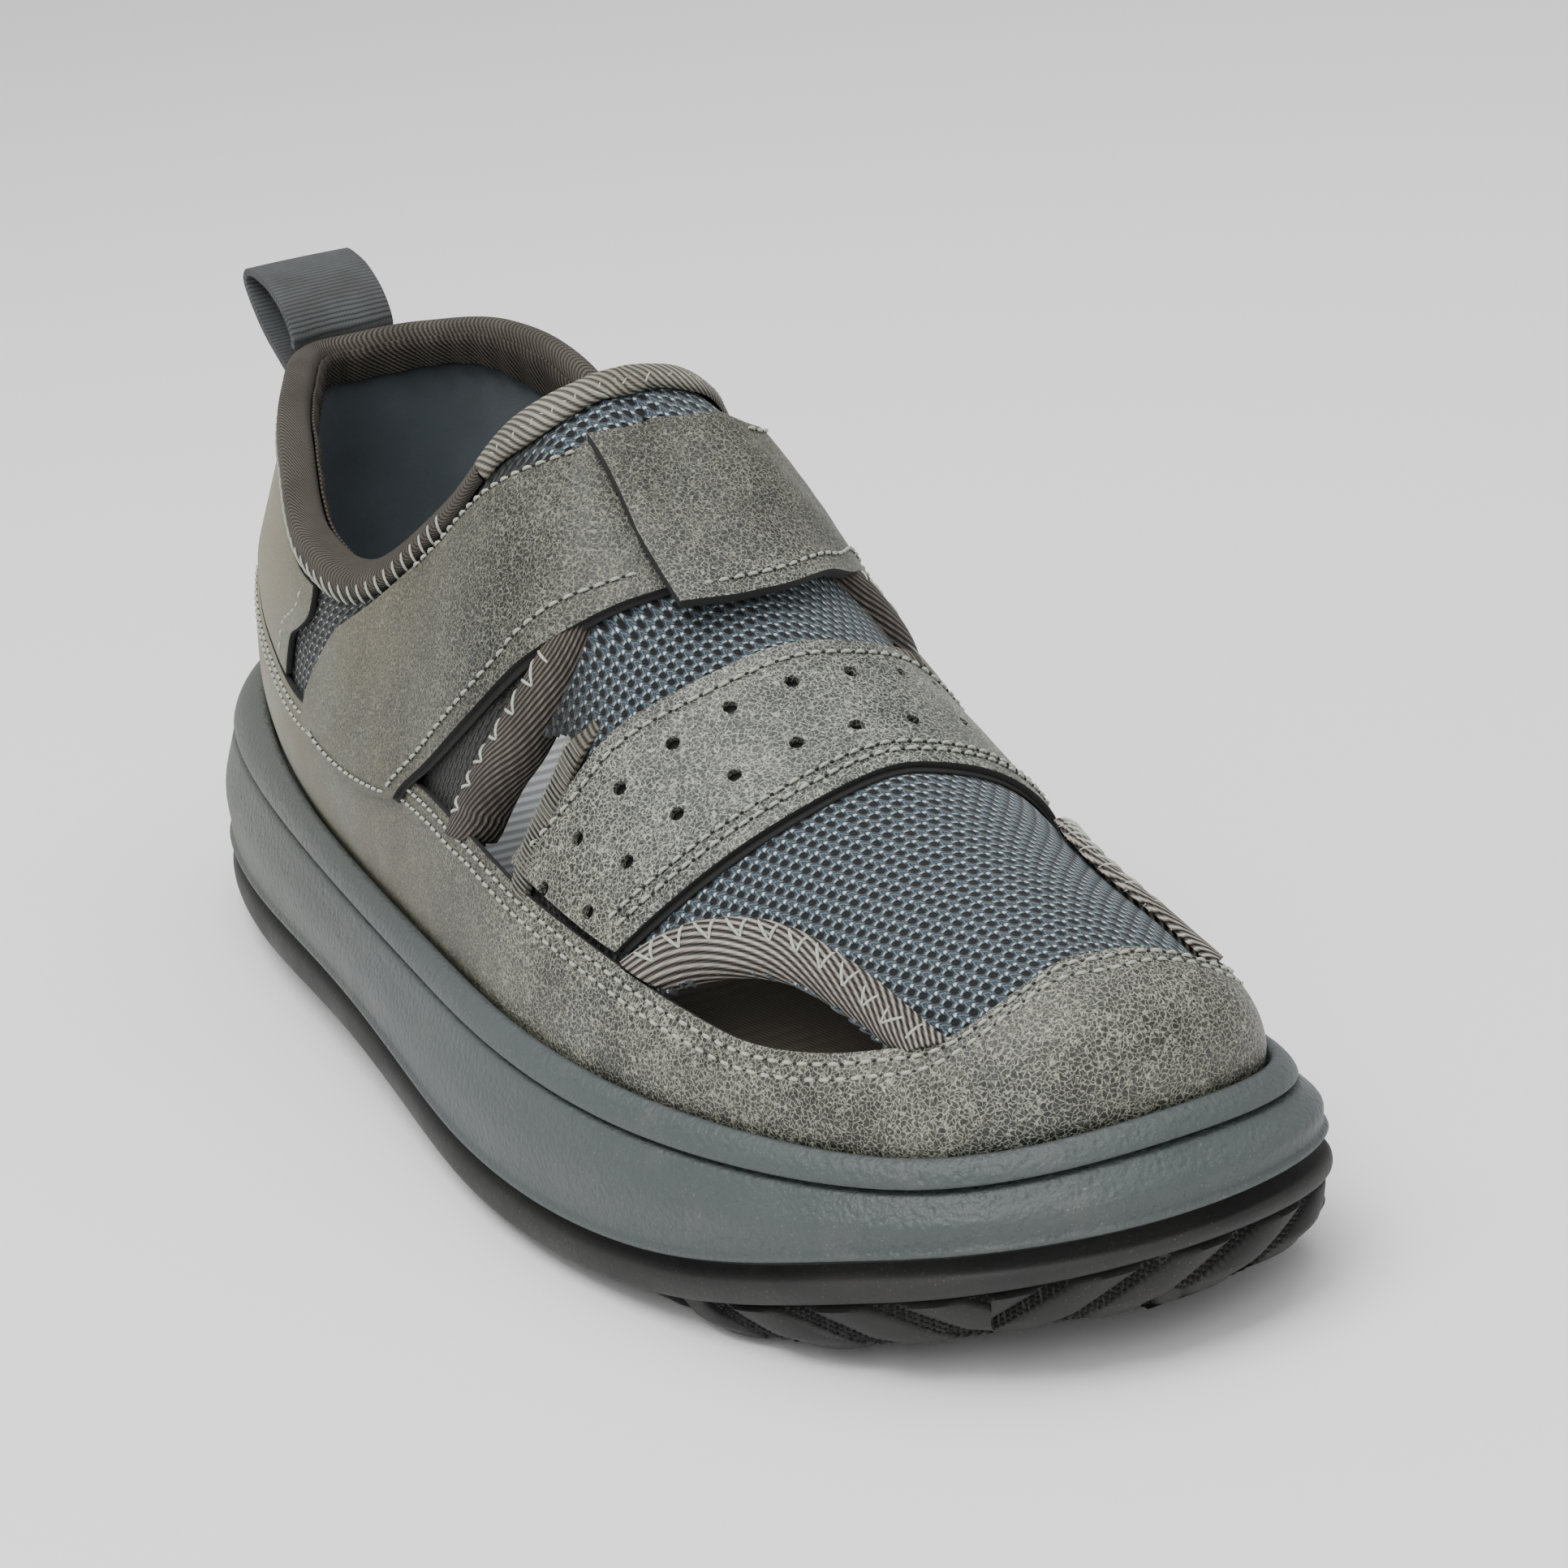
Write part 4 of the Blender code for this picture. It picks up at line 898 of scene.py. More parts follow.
def outsole_grid(t, down_rows, in_rows):
    """Rings of band, rope edge and underside, from the lip to the middle."""
    top = sole_height(3, t) - SEAT_GAP
    band = sole_height(4, t)
    share = share_of(to_p(t))
    run = np.cumsum(np.linalg.norm(np.diff(outline(t), axis=0), axis=1))
    run = np.concatenate([[0], run])
    run = run - np.interp(FLIP_AT, t, run)
    lean = np.where(t < FLIP_AT, *ROPE_LEAN)
    rings = [(0.8 * MM, top), (1.5 * MM, top - 0.2 * MM),
             (1.7 * MM, top - 1.2 * MM), (0.9 * MM, top - 1.9 * MM)]
    start, end = top - BAND_STEP - 0.2 * MM, band + 1.4 * MM
    for turn in np.radians(np.linspace(80, -80, 11)):
        rings.append((0.5 * MM - (0.5 * MM + BAND_OUT) * np.cos(turn) ** 0.55,
                      0.5 * (start + end) + 0.5 * (start - end) * np.sin(turn)))
    foot = band + 1.2 * MM
    rings.append((1.2 * MM, foot))
    hidden = 1 - step(share, 0.76, 0.86)
    drop = np.maximum(foot - tread_base(share), 1.0 * MM)
    for down in np.linspace(0.04, 1.0, down_rows):
        wave = rope(run, down * drop, lean)
        inset = (1.9 + 4.6 * hidden * step(down, 0.0, 0.2) - 2.3 * wave * step(down, 0.0, 0.15)
                 + 1.4 * step(down, 0.70, 1.0)) * MM
        rings.append((inset, foot - down * drop + 0.25 * MM * (1 - wave) * step(down, 0.8, 1.0)))
    pts = ring_points(t, rings)
    edge = pts[:, -1]
    middle = edge * np.array([0.0, 1.0, 1.0])
    inner = []
    for across in np.linspace(0.03, 1.0, in_rows):
        at = edge * (1 - across) + middle * across
        here = np.clip((at[:, 1] + HEEL_REST_AT) / SOLE_LENGTH, 0, 1)
        border = step(across, 0.0, 0.05)
        lug = lug_pattern(here, across) * border + (1 - border)
        plate = column(SOLE_LINES, 4, param(here)) * HEEL_STACK + 1.0 * MM
        floor = tread_base(here)
        at[:, 2] = floor * lug + np.maximum(plate, floor + 1.6 * MM) * (1 - lug)
        inner.append(at)
    pts = np.concatenate([pts, np.stack(inner, 1)], 1)
    return pts, np.stack([np.repeat(run[:, None], pts.shape[1], 1), walk(pts, 1)], -1)


columns, down_rows, in_rows = OUTSOLE_GRID
t = toe_dense(columns)
pts, uv = outsole_grid(t, down_rows, in_rows)
roof = ring_points(t, [(3.0 * MM, sole_height(3, t) - SEAT_GAP)])
middle = pts[:, :1] * np.array([0.0, 1.0, 1.0])
pts = np.concatenate([middle, roof, pts], 1)
uv = np.concatenate([uv[:, :1], uv[:, :1], uv], 1)
centre = np.array([0.0, 0.5 * SOLE_LENGTH - HEEL_REST_AT, 12 * MM])
outsole = grid_object("outsole_rubber", pts, pts - centre, [rubber], uv)
piece(outsole, "rubber_dark", "outsole")
outsole.data.set_sharp_from_angle(angle=0.9)
print("outsole faces:", len(outsole.data.polygons))
print("lowest point", round(float(pts[..., 2].min() / MM), 2), "mm")

# %% [markdown]
# The footbed lies in the shoe, a little dished, with cross ribs. It shows through
# the collar and through the slots at the waist.
# %% Footbed
t = np.arange(241) / 120
inside = foot_inset(t) + LAYER_GAP + LEATHER + UPPER_WALL + SEAT_GAP
rim = sole_height(1, t)
edge = np.concatenate([outline(t) - outward(t) * inside[:, None], (rim + 1.0 * MM)[:, None]], -1)
u = np.linspace(0, 1, 24)[None, :, None]
core = edge * np.array([0.0, 1.0, 1.0])
top = edge[:, None] * (1 - u) + core[:, None] * u
top[..., 2] -= 1.2 * MM * np.sin(0.5 * np.pi * u[..., 0])
skirt = np.stack([edge - [0, 0, 4.0 * MM], edge - [0, 0, 0.8 * MM], edge - [0, 0, 0.2 * MM]], 1)
pts = np.concatenate([skirt, top], 1)
uv = pts[..., [1, 0]]
insole = grid_object("footbed_top", pts, pts - np.array([0, 0, -1.0]), [footbed], uv)
piece(insole, "footbed_grey", "insole")
print("footbed points:", pts.shape[:2])

# %% [markdown]
# ## The upper
# The knit upper is one wall round the foot, open at the collar. A grid covers it
# from the heel to the toe on both sides. The cells inside the front windows and
# the slots at the waist are left out, and Solidify adds the lining behind.
# %% Upper
WINDOW_ARC = [(0.764, 0.305), (0.788, 0.382), (0.819, 0.452), (0.851, 0.478),
              (0.890, 0.452), (0.912, 0.415), (0.922, 0.405)]
WAIST_GAP = [
    (0.24, 0.564, 0.632), (0.30, 0.574, 0.634), (0.38, 0.594, 0.638), (0.46, 0.611, 0.643),
    (0.51, 0.622, 0.640), (0.545, 0.638, 0.640)]
COLLAR_EDGE = [(0.00, 0.91), (0.10, 0.885), (0.25, 0.855), (0.40, 0.875), (0.478, 0.90)]
TONGUE_AT = float(param(0.478))
THROAT = float(param(THROAT_AT))
CUT_PAST = 0.006  # the gap's cells are cut a little past the tapes' inner lines


def places(collar, tongue, vamp):
    """Parameters of the columns: heel to tongue, to the throat, to the toe."""
    u = np.linspace(0, 1, vamp + 1)[1:]
    return np.concatenate([np.linspace(0, TONGUE_AT, collar + 1),
                           np.linspace(TONGUE_AT, THROAT, tongue + 1)[1:],
                           THROAT + (1 - THROAT) * u ** 1.1])


def round_foot(collar, tongue, vamp):
    """Columns all round the foot, the same on both sides."""
    half = places(collar, tongue, vamp)
    return np.concatenate([half, 2 - half[-2::-1]])


def side_and_girth(points, t):
    """Map for the knit: length ahead of the throat, and girth from the ridge."""
    toe = len(t) // 2
    throat = int(np.searchsorted(t, THROAT))
    halves = []
    for half in (points[:toe + 1], points[toe:][::-1]):
        ahead = walk(half, 0)
        halves.append(ahead - ahead[throat] + half[throat, :, 1])
    ahead = np.concatenate([halves[0], halves[1][-2::-1]])
    up = walk(points, 1)
    side = np.where(t > 1, -1.0, 1.0)[:, None]
    girth = (up[:, -1:] - up) * side
    tongue = step(0.128 - points[..., 1], 0.0, 0.02) * step(points[..., 2], 0.080, 0.090)
    flat = np.stack([1.1 * points[..., 1], points[..., 0]], -1)
    around = np.stack([ahead, girth], -1)
    return around + (flat - around) * tongue[..., None]


tt = round_foot(70, 20, 110)
tg, vg = np.meshgrid(tt, np.linspace(0, 1, 76), indexing="ij")
pts = ring(tg, vg, -(LAYER_GAP + LEATHER))
want = ring(tg, vg, MM) - pts
share = share_of(to_p(tg))
across, rear, front = np.array(WAIST_GAP).T
in_gap = (vg > across[0]) & (vg < across[-1])
in_gap &= share > np.interp(vg, across, rear) - CUT_PAST
in_gap &= share < np.interp(vg, across, front) + CUT_PAST
in_arc = (share > WINDOW_ARC[0][0]) & (share < WINDOW_ARC[-1][0])
in_arc &= (vg < column(WINDOW_ARC, 1, to_p(tg))) & (vg > guard_top(tg) - 0.03)
hole = in_gap | in_arc
drop = hole[:-1, :-1] & hole[1:, :-1] & hole[1:, 1:] & hole[:-1, 1:]
upper = grid_object("upper_knit", pts, want, [mesh_knit, lining], side_and_girth(pts, tt), drop)
thicken(upper, UPPER_WALL, rim=1, inner=1)
piece(upper, "mesh_blue_grey", "upper")
print("upper cells:", drop.size, "left out:", int(drop.sum()))

# %% [markdown]
# ## Leather panels
# The mudguard runs round the foot and climbs over the toe. The counter wraps the
# heel. Both lie on the last itself; the knit is a leather's thickness further
# in. The panels are slightly padded, so their middles stand a little proud.
# %% Mudguard and counter
def pad(w, height):
    """Flat middle that falls to nothing at both edges, fourth power."""
    return height * (1 - np.abs(2 * w - 1) ** 4)


def panel(name, t, v, lift, node):
    """Leather panel on the last, with a dark cut edge and a soft corner."""
    obj = grid_object(name, ring(t, v, lift), on_ring(t, v, 0.0)[1], [leather, cut_edge])
    thicken(obj, LEATHER, rim=1, round_off=CORNER)
    return piece(obj, "leather_grey", node)


tt = round_foot(60, 16, 120)
w = np.linspace(0, 1, 30)[None, :] ** 0.9
panel("mudguard_leather", np.repeat(tt[:, None], 30, 1), guard_top(tt)[:, None] * w,
      pad(0.5 + 0.5 * w, 0.35 * MM) * step(w, 0.0, 0.3), "mudguard")


def wall_share(length, t):
    """Share of the wall that a length takes, measured near the foot."""
    a, b = shell(to_p(t), 0.30 + 0 * t), shell(to_p(t), 0.40 + 0 * t)
    return 0.10 * length / np.linalg.norm(b - a, axis=-1)


COUNTER_EDGE = [0.252, 0.256, 0.264, 0.285, 0.303, 0.311, 0.314]


def counter_place(u, w):
    """Place round the foot and up the wall; u runs -1 to 1 round the heel."""
    reach = param(open_curve(COUNTER_EDGE, w))
    t = u * reach
    low = guard_top(t) + wall_share(0.7 * MM, t)
    high = column(COLLAR_EDGE, 1, to_p(t)) - wall_share(1.5 * MM, t)
    return t, low + (high - low) * w


u, w = np.meshgrid(np.linspace(-1, 1, 121), np.linspace(0, 1, 30), indexing="ij")
panel("heel_counter_leather", *counter_place(u, w),
      pad(w, 0.45 * MM) * step(1 - np.abs(u), 0, 0.06), "heel_counter")
print("mudguard and counter made")

# %% [markdown]
# ## Straps
# Each strap is given by rows that go over the foot. A row holds the place of its
# rear edge, of its front edge, and its lift, because the ankle strap lies on the
# mudguard and the closure strap lies on the ankle strap.
# %% Strap tables
FOREFOOT_STRAP = [
    (0.6235, 0.305, 0.734, 0.322, 0), (0.6565, 0.462, 0.755, 0.47, 0),
    (0.668, 0.60, 0.772, 0.63, 0), (0.690, 0.765, 0.786, 0.80, 0),
    (0.704, 1.00, 0.793, 1.00, 0), (0.694, 1.20, 0.789, 1.18, 0), (0.672, 1.38, 0.772, 1.37, 0),
    (0.6565, 1.538, 0.755, 1.53, 0), (0.6235, 1.695, 0.734, 1.678, 0)]
ANKLE_STRAP = [
    (0.312, 0.36, 0.462, 0.285, 1.75), (0.318, 0.46, 0.478, 0.325, 1.75),
    (0.336, 0.64, 0.508, 0.365, 0.6), (0.370, 0.785, 0.556, 0.452, 0.5),
    (0.430, 0.842, 0.594, 0.553, 0.5), (0.493, 0.815, 0.621, 0.668, 0.5),
    (0.537, 0.812, 0.642, 0.774, 0.5), (0.572, 0.83, 0.654, 0.85, 0.3),
    (0.592, 0.93, 0.662, 0.94, 0.1)]
CLOSURE_STRAP = [
    (0.583, 0.854, 0.668, 0.849, 2.85), (0.597, 0.925, 0.681, 0.95, 2.8),
    (0.602, 1.01, 0.682, 1.04, 2.5), (0.592, 1.11, 0.668, 1.16, 2.4),
    (0.572, 1.18, 0.650, 1.25, 2.0), (0.553, 1.225, 0.634, 1.33, 1.4),
    (0.530, 1.215, 0.612, 1.40, 0.9), (0.488, 1.185, 0.589, 1.47, 0.75),
    (0.430, 1.158, 0.556, 1.57, 0.75), (0.372, 1.215, 0.508, 1.635, 0.9),
    (0.332, 1.42, 0.478, 1.676, 2.65), (0.318, 1.62, 0.463, 1.715, 2.65)]


FINE, ACROSS = 240, 8  # steps along and across a strap
EASE_ROWS, EASE_GRID = 16, 20  # reach of the averages, in steps along


def hat(reach):
    """Rounded weights that add up to one."""
    weight = np.hanning(2 * reach + 3)[1:-1]
    return weight / weight.sum()


def run_out(rows, reach):
    """Adds rows past both ends, mirrored through the end row."""
    before, after = rows[reach:0:-1], rows[-2:-reach - 2:-1]
    return np.concatenate([2 * rows[0] - before, rows, 2 * rows[-1] - after])


def eased(values, u):
    """Smooth curve through the rows, averaged a little so that no corner shows."""
    at = np.linspace(0, 1, FINE + 1)
    soft = np.convolve(run_out(open_curve(values, at), EASE_ROWS), hat(EASE_ROWS), "valid")
    return np.interp(u, at, soft)


def strap_place(table, u, w, mirror=False):
    """Parameter, place across and lift: rows read smoothly, edges mixed by w."""
    data = np.array(table, float)
    if mirror:
        data[:, [1, 3]] = 2 - data[:, [1, 3]] + SIDE_STEP
    u, w = np.broadcast_arrays(np.asarray(u, float), np.asarray(w, float))
    rows = (param(data[:, 0]), data[:, 1], param(data[:, 2]), data[:, 3])
    p0, q0, p1, q1 = [eased(values, u) for values in rows]
    lift = 0 * u
    if data.shape[1] > 4:
        lift = np.interp(u, np.linspace(0, 1, len(data)), data[:, 4]) * MM
    return p0 * (1 - w) + p1 * w, q0 * (1 - w) + q1 * w, lift


EASING = {}


def ease_shift(table, u, w, mirror):
    """How far averaging along the strap moves each point, read off a grid."""
    key = (tuple(table), mirror)
    if key not in EASING:
        grid = skin(*strap_place(table, np.linspace(0, 1, FINE + 1)[:, None],
                                 np.linspace(0, 1, ACROSS + 1), mirror))
        long = run_out(grid, EASE_GRID)
        EASING[key] = sum(k * long[i:i + FINE + 1] for i, k in enumerate(hat(EASE_GRID))) - grid
    i, j = np.clip(u, 0, 1) * FINE, np.clip(w, 0, 1) * ACROSS
    i0, j0 = np.minimum(i.astype(int), FINE - 1), np.minimum(j.astype(int), ACROSS - 1)
    a, b = (i - i0)[..., None], (j - j0)[..., None]
    low, high = [(1 - b) * EASING[key][k, j0] + b * EASING[key][k, j0 + 1] for k in (i0, i0 + 1)]
    return (1 - a) * low + a * high


def strap_points(table, u, w, extra=0.0, mirror=False):
    """Points of a strap, and the way out of the shoe there."""
    u, w = np.broadcast_arrays(np.asarray(u, float), np.asarray(w, float))
    p, q, lift = strap_place(table, u, w, mirror)
    return skin(p, q, lift + extra) + ease_shift(table, u, w, mirror), shell_normal(p, q)


def strap_width(table, u, mirror=False):
    """Distance between the two edges at each place along a strap."""
    rear, front = [strap_points(table, u, 0 * u + edge, 0.0, mirror)[0] for edge in (0, 1)]
    return np.linalg.norm(front - rear, axis=-1)


def rounded_end(u, w, depth):
    """Draws the corners of the first end back, by the sixth power across."""
    back = depth * np.abs(2 * w - 1) ** 6
    return back + (1 - back) * u


def strap(table, node, thickness, height, depth=0.0, curl=0.0):
    """Padded strap; depth rounds its first end and curl lifts it."""
    u, w = np.meshgrid(np.linspace(0, 1, 170), np.linspace(0, 1, 48), indexing="ij")
    u = rounded_end(u, w, depth)
    pts, n = strap_points(table, u, w, pad(w, height) + curl * (1 - step(u, 0.0, 0.12)))
    obj = grid_object(node + "_leather", pts, n, [leather, cut_edge])
    thicken(obj, thickness, rim=1, round_off=0.25 * MM)
    return piece(obj, "leather_grey", node)


def strap_lining_and_shadow(name, table, past):
    """Black lining under a strap; the band it shows past the front edge is partly the lining and
    partly painted shadow under the free edge.
    """
    reach = 1 + past / strap_width(table, 0.5)
    u, w = np.meshgrid(np.linspace(0.01, 0.99, 120), np.linspace(0.05, reach, 30), indexing="ij")
    pts, n = strap_points(table, u, w, -LEATHER + 0.12 * MM)
    obj = grid_object(name, pts, n, [cut_edge])
    thicken(obj, 0.35 * MM)
    return piece(obj, "leather_grey")


# %% Straps over the foot
ANKLE_CORNER = 0.035  # share of the length by which the end's corners draw back
strap(ANKLE_STRAP, "ankle_strap", LEATHER, 0.5 * MM, ANKLE_CORNER)
strap(CLOSURE_STRAP, "closure_strap", 2.0 * MM, 0.45 * MM, curl=0.9 * MM)
forefoot = strap(FOREFOOT_STRAP, "forefoot_strap", LEATHER, 0.45 * MM)
# Painted shadow: the black linings reach 0.9 and 1.1 mm past the front edges. The dark band
# stands for the lining's edge and the shadow under the free edge.
strap_lining_and_shadow("ankle_strap_lining_and_shadow", ANKLE_STRAP, 0.9 * MM)
strap_lining_and_shadow("forefoot_strap_lining_and_shadow", FOREFOOT_STRAP, 1.1 * MM)
print("straps made")

# %% [markdown]
# ## Rolled bindings
# Each raw edge of the knit is wrapped in ribbed tape. Cut across, the tape starts
# flat on the knit, swells, rolls over the edge and ends inside. So a binding is
# that cross-section carried along the edge. Its ribs follow the map coordinates.
# The tapes of the quarter and the vamp stop short and sink away at that end.
# %% Bindings of the windows and slots
WINDOW_BINDING = [
    (0.766, 0.308, 0.738, 0.312), (0.790, 0.393, 0.765, 0.440), (0.821, 0.464, 0.797, 0.528),
    (0.852, 0.490, 0.836, 0.580), (0.891, 0.466, 0.886, 0.568), (0.913, 0.430, 0.926, 0.512),
    (0.930, 0.395, 0.948, 0.455)]
QUARTER_BINDING = [
    (0.534, 0.262, 0.566, 0.262), (0.561, 0.375, 0.592, 0.372), (0.582, 0.455, 0.6105, 0.452),
    (0.597, 0.550, 0.621, 0.553), (0.606, 0.650, 0.626, 0.663), (0.609, 0.73, 0.626, 0.745)]
VAMP_BINDING = [
    (0.632, 0.26, 0.647, 0.26), (0.637, 0.36, 0.651, 0.36), (0.644, 0.46, 0.657, 0.46),
    (0.646, 0.54, 0.659, 0.54), (0.648, 0.61, 0.660, 0.61), (0.650, 0.68, 0.661, 0.68)]
# share of the width from the free edge, lift in mm
ROLL = [
    (0.20, -5.4), (0.00, -5.4), (-0.14, -4.9), (-0.22, -3.8), (-0.22, -2.4), (-0.15, -1.1),
    (-0.02, -0.05), (0.15, 0.60), (0.42, 0.85), (0.70, 0.65), (0.88, 0.20), (0.97, -0.30),
    (1.0, -1.0)]


def rolled(name, table, node, mat, mirror, free_first=True, swell=1.0, past=1.0, bias=None,
           end=1.0):
    """Cross-section of the roll carried along a strip of the last."""
    s = np.linspace(0, 1, 36)
    w, lift = [open_curve(values, s) for values in np.array(ROLL).T]
    w, lift = np.where(w < 0, w * past, w), np.where(lift > 0, lift * swell, lift) * MM
    u, w = np.meshgrid(np.linspace(0, end, 110), w if free_first else 1 - w, indexing="ij")
    if end < 1:
        sink = step(u / end, 0.70, 1.0)
        w = w + (0.8 - w) * sink * 0.5
        lift = lift[None] * (1 - 0.6 * sink) - 1.7 * MM * sink
    pts = strap_points(table, u, w, lift + 0 * u, mirror)[0]
    middle = strap_points(table, u, 0 * w + 0.5, -2.0 * MM, mirror)[0]
    uv = np.stack([walk(pts, 0), walk(pts, 1)], -1)
    if bias:
        run = uv[..., 0] / uv[-1:, :, 0]
        uv[..., 0] *= bias[0] + (bias[1] - bias[0]) * run / 2
        uv[..., 1] *= 1.2 - 0.7 * run
    obj = grid_object(name, pts, pts - middle, [mat], uv)
    thicken(obj, TAPE)
    return piece(obj, "binding_brown", node)


QUARTER_SWELL = 1.3
for mirror, side in ((False, "lateral"), (True, "medial")):
    rolled("window_tape_" + side, WINDOW_BINDING, "front_window_binding_" + side, tape_window,
           mirror, bias=(0.10, 0.92))
    rolled("quarter_tape_" + side, QUARTER_BINDING, "quarter_binding_" + side, tape_quarter,
           mirror, False, QUARTER_SWELL, 0.6, end=0.93)
    rolled("vamp_tape_" + side, VAMP_BINDING, "vamp_binding_" + side, tape_vamp,
           mirror, True, 0.25, 0.5, end=0.75)
print("six bindings rolled")

# %% [markdown]
# The collar and the tongue have thicker rolls, padded with foam. Here the section
# is given at each place of the free edge: how far down the wall, how far past
# the edge, and how far out of the last.
# %% Collar and tongue
COLLAR_ROLL = [  # share down the wall, past the edge and lift in mm
    (0.0, 0.0, -1.1), (0.03, 0.0, -0.3), (0.20, 0.0, 0.45), (0.45, 0.0, 0.85),
    (0.75, 0.0, 0.80), (0.95, 0.5, 0.35), (1.0, 1.5, -0.55), (1.0, 2.1, -1.9), (1.0, 2.2, -3.2),
    (1.0, 1.5, -4.5), (0.95, 0.3, -5.3), (0.70, 0.0, -5.6), (0.40, 0.0, -5.5),
    (0.10, 0.0, -5.0), (0.0, 0.0, -4.3)]


def edge_roll(name, inner, rim, node, mat, fat):
    """Section of the roll at each pair of places, inner line and free edge."""
    s = np.linspace(0, 1, 40)
    share, past, lift = [open_curve(values, s) for values in np.array(COLLAR_ROLL).T]
    share = np.clip(share, 0, 1)[None, :, None]
    p, q = np.moveaxis(inner[:, None] + (rim - inner)[:, None] * share, -1, 0)
    n = shell_normal(p, q)
    edge = shell(*rim.T)
    ahead = edge - shell(*inner.T)
    ahead /= np.linalg.norm(ahead, axis=1)[:, None]
    lift = np.where(lift > 0, lift * fat, lift) * MM
    pts = skin(p, q, 0.0) + n * lift[None, :, None] + ahead[:, None] * (past * MM)[None, :, None]
    middle = (edge + n[:, -1] * -2.4 * MM)[:, None] + 0 * pts
    obj = grid_object(name, pts, pts - middle, [mat])
    thicken(obj, TAPE)
    return piece(obj, "binding_brown", node)


def both_sides(p, q):
    """The same places on the outer and on the inner side of the foot."""
    return np.column_stack([p, q + 0 * p]), np.column_stack([p, 2 - q + SIDE_STEP + 0 * p])


pc = np.linspace(0, TONGUE_AT + 0.010, 110)
outer, inner = both_sides(pc, column(COLLAR_EDGE, 1, pc))
collar_inner = np.concatenate([inner[:0:-1], outer])
outer, inner = both_sides(pc, 1)
collar_rim = np.concatenate([inner[:0:-1], outer])
edge_roll("collar_tape", collar_inner, collar_rim, "collar_binding", tape_collar, 0.8)

FLAP = [  # lift in mm, share of the way from the flap's hem to the free edge
    (-6.1, 1.0), (-6.6, 0.78), (-6.5, 0.52), (-6.25, 0.30), (-6.0, 0.12), (-5.8, 0.0)]
lift, share = [open_curve(values, np.linspace(0, 1, 26)) for values in np.array(FLAP).T]
run = walk(shell(*collar_rim.T)[:, None], 0)[:, 0]
wave = 0.10 + 0.12 * np.sin(run / (7 * MM))
hem = collar_inner + (collar_inner - collar_rim) * wave[:, None]
p, q = np.moveaxis(hem[:, None] + (collar_rim - hem)[:, None] * share[None, :, None], -1, 0)
ripple = np.sin(run / (1.3 * MM) + 2 * np.sin(run / (9 * MM)))[:, None]
ripple = 0.35 * MM * ripple * (1 - share[None]) ** 0.5
n = shell_normal(p, q)
pts = skin(p, q, 0.0) + n * (lift[None] * MM + ripple)[..., None]
flap = grid_object("collar_flap", pts, -n, [tape_flap])
thicken(flap, 0.4 * MM)
piece(flap, "binding_brown")

TONGUE_EDGE = np.array([
    (0.500, 0.880, 0.486), (0.505, 0.885, 0.491), (0.528, 0.885, 0.508), (0.547, 0.905, 0.526),
    (0.566, 0.935, 0.545), (0.580, 0.965, 0.560), (0.587, 1.0, 0.570)])
knots = param(TONGUE_EDGE[:, 2])
pt = np.linspace(knots[0], knots[-1], 60)
p_in, q_in = [cubic(knots, values, slopes(knots, values, True, True), pt)
              for values in (param(TONGUE_EDGE[:, 0]), TONGUE_EDGE[:, 1])]
outer, inner = both_sides(p_in, q_in)
tongue_inner = np.concatenate([outer, inner[-2::-1]])
outer, inner = both_sides(pt, 1)
tongue_rim = np.concatenate([outer, inner[-2::-1]])
edge_roll("tongue_tape", tongue_inner, tongue_rim, "tongue_binding", tape_tongue, 0.9)
print("collar and tongue rolled")

# %% [markdown]
# ## Heel loop
# A webbing tape stands up behind the heel, leans back, turns over and comes down
# to the outside of the counter, where its outer leg lies flat. It is a strip
# carried along one smooth path.
# %% Pull loop
LOOP_WIDTH, LOOP_WEB = 0.020, 1.4 * MM
LOOP_RISE, LOOP_BACK = 0.0094, 0.0172
heel = shell(0.0, 1.0)[1:] + [0.0, 1.3 * MM + 3 * SEAT_GAP]
LOOP_PATH = np.array([  # share of the lean back, share of the rise
    (0.03, -0.10), (0.00, 0.10), (0.16, 0.50), (0.50, 0.86), (0.85, 1.00), (1.04, 1.02),
    (1.16, 0.95), (1.18, 0.78), (1.00, 0.35), (0.72, -0.10)])
down = np.array([0.895, 0.855, 0.81, 0.765])  # up the heel's wall, on the outer leg
off = np.array([[0.9], [0.35], [0.3], [0.3]]) * MM
tail = shell(0.0, down) + shell_normal(0.0, down) * off
stops = np.concatenate([heel + LOOP_PATH * [-LOOP_BACK, LOOP_RISE], tail[:, 1:]])
s = np.linspace(0, 1, 120)
yz = np.column_stack([open_curve(values, s) for values in stops.T])
x = np.linspace(-0.5, 0.5, 17)[None, :] * LOOP_WIDTH
sag = 0.5 * MM * (1 - (2 * x / LOOP_WIDTH) ** 2)
pts = np.stack([x + 0 * yz[:, :1], yz[:, :1] - sag, yz[:, 1:] + 0 * x], -1)
tangent = np.gradient(yz, axis=0)
want = np.stack([0 * tangent[:, 0], tangent[:, 1], -tangent[:, 0]], -1)[:, None] + 0 * pts
loop = grid_object("heel_loop_webbing", pts, -want, [webbing])
thicken(loop, LOOP_WEB, round_off=CORNER)
piece(loop, "webbing_grey", "pull_loop")
print("loop height", round(float(yz[:, 1].max() / MM), 1), "mm")

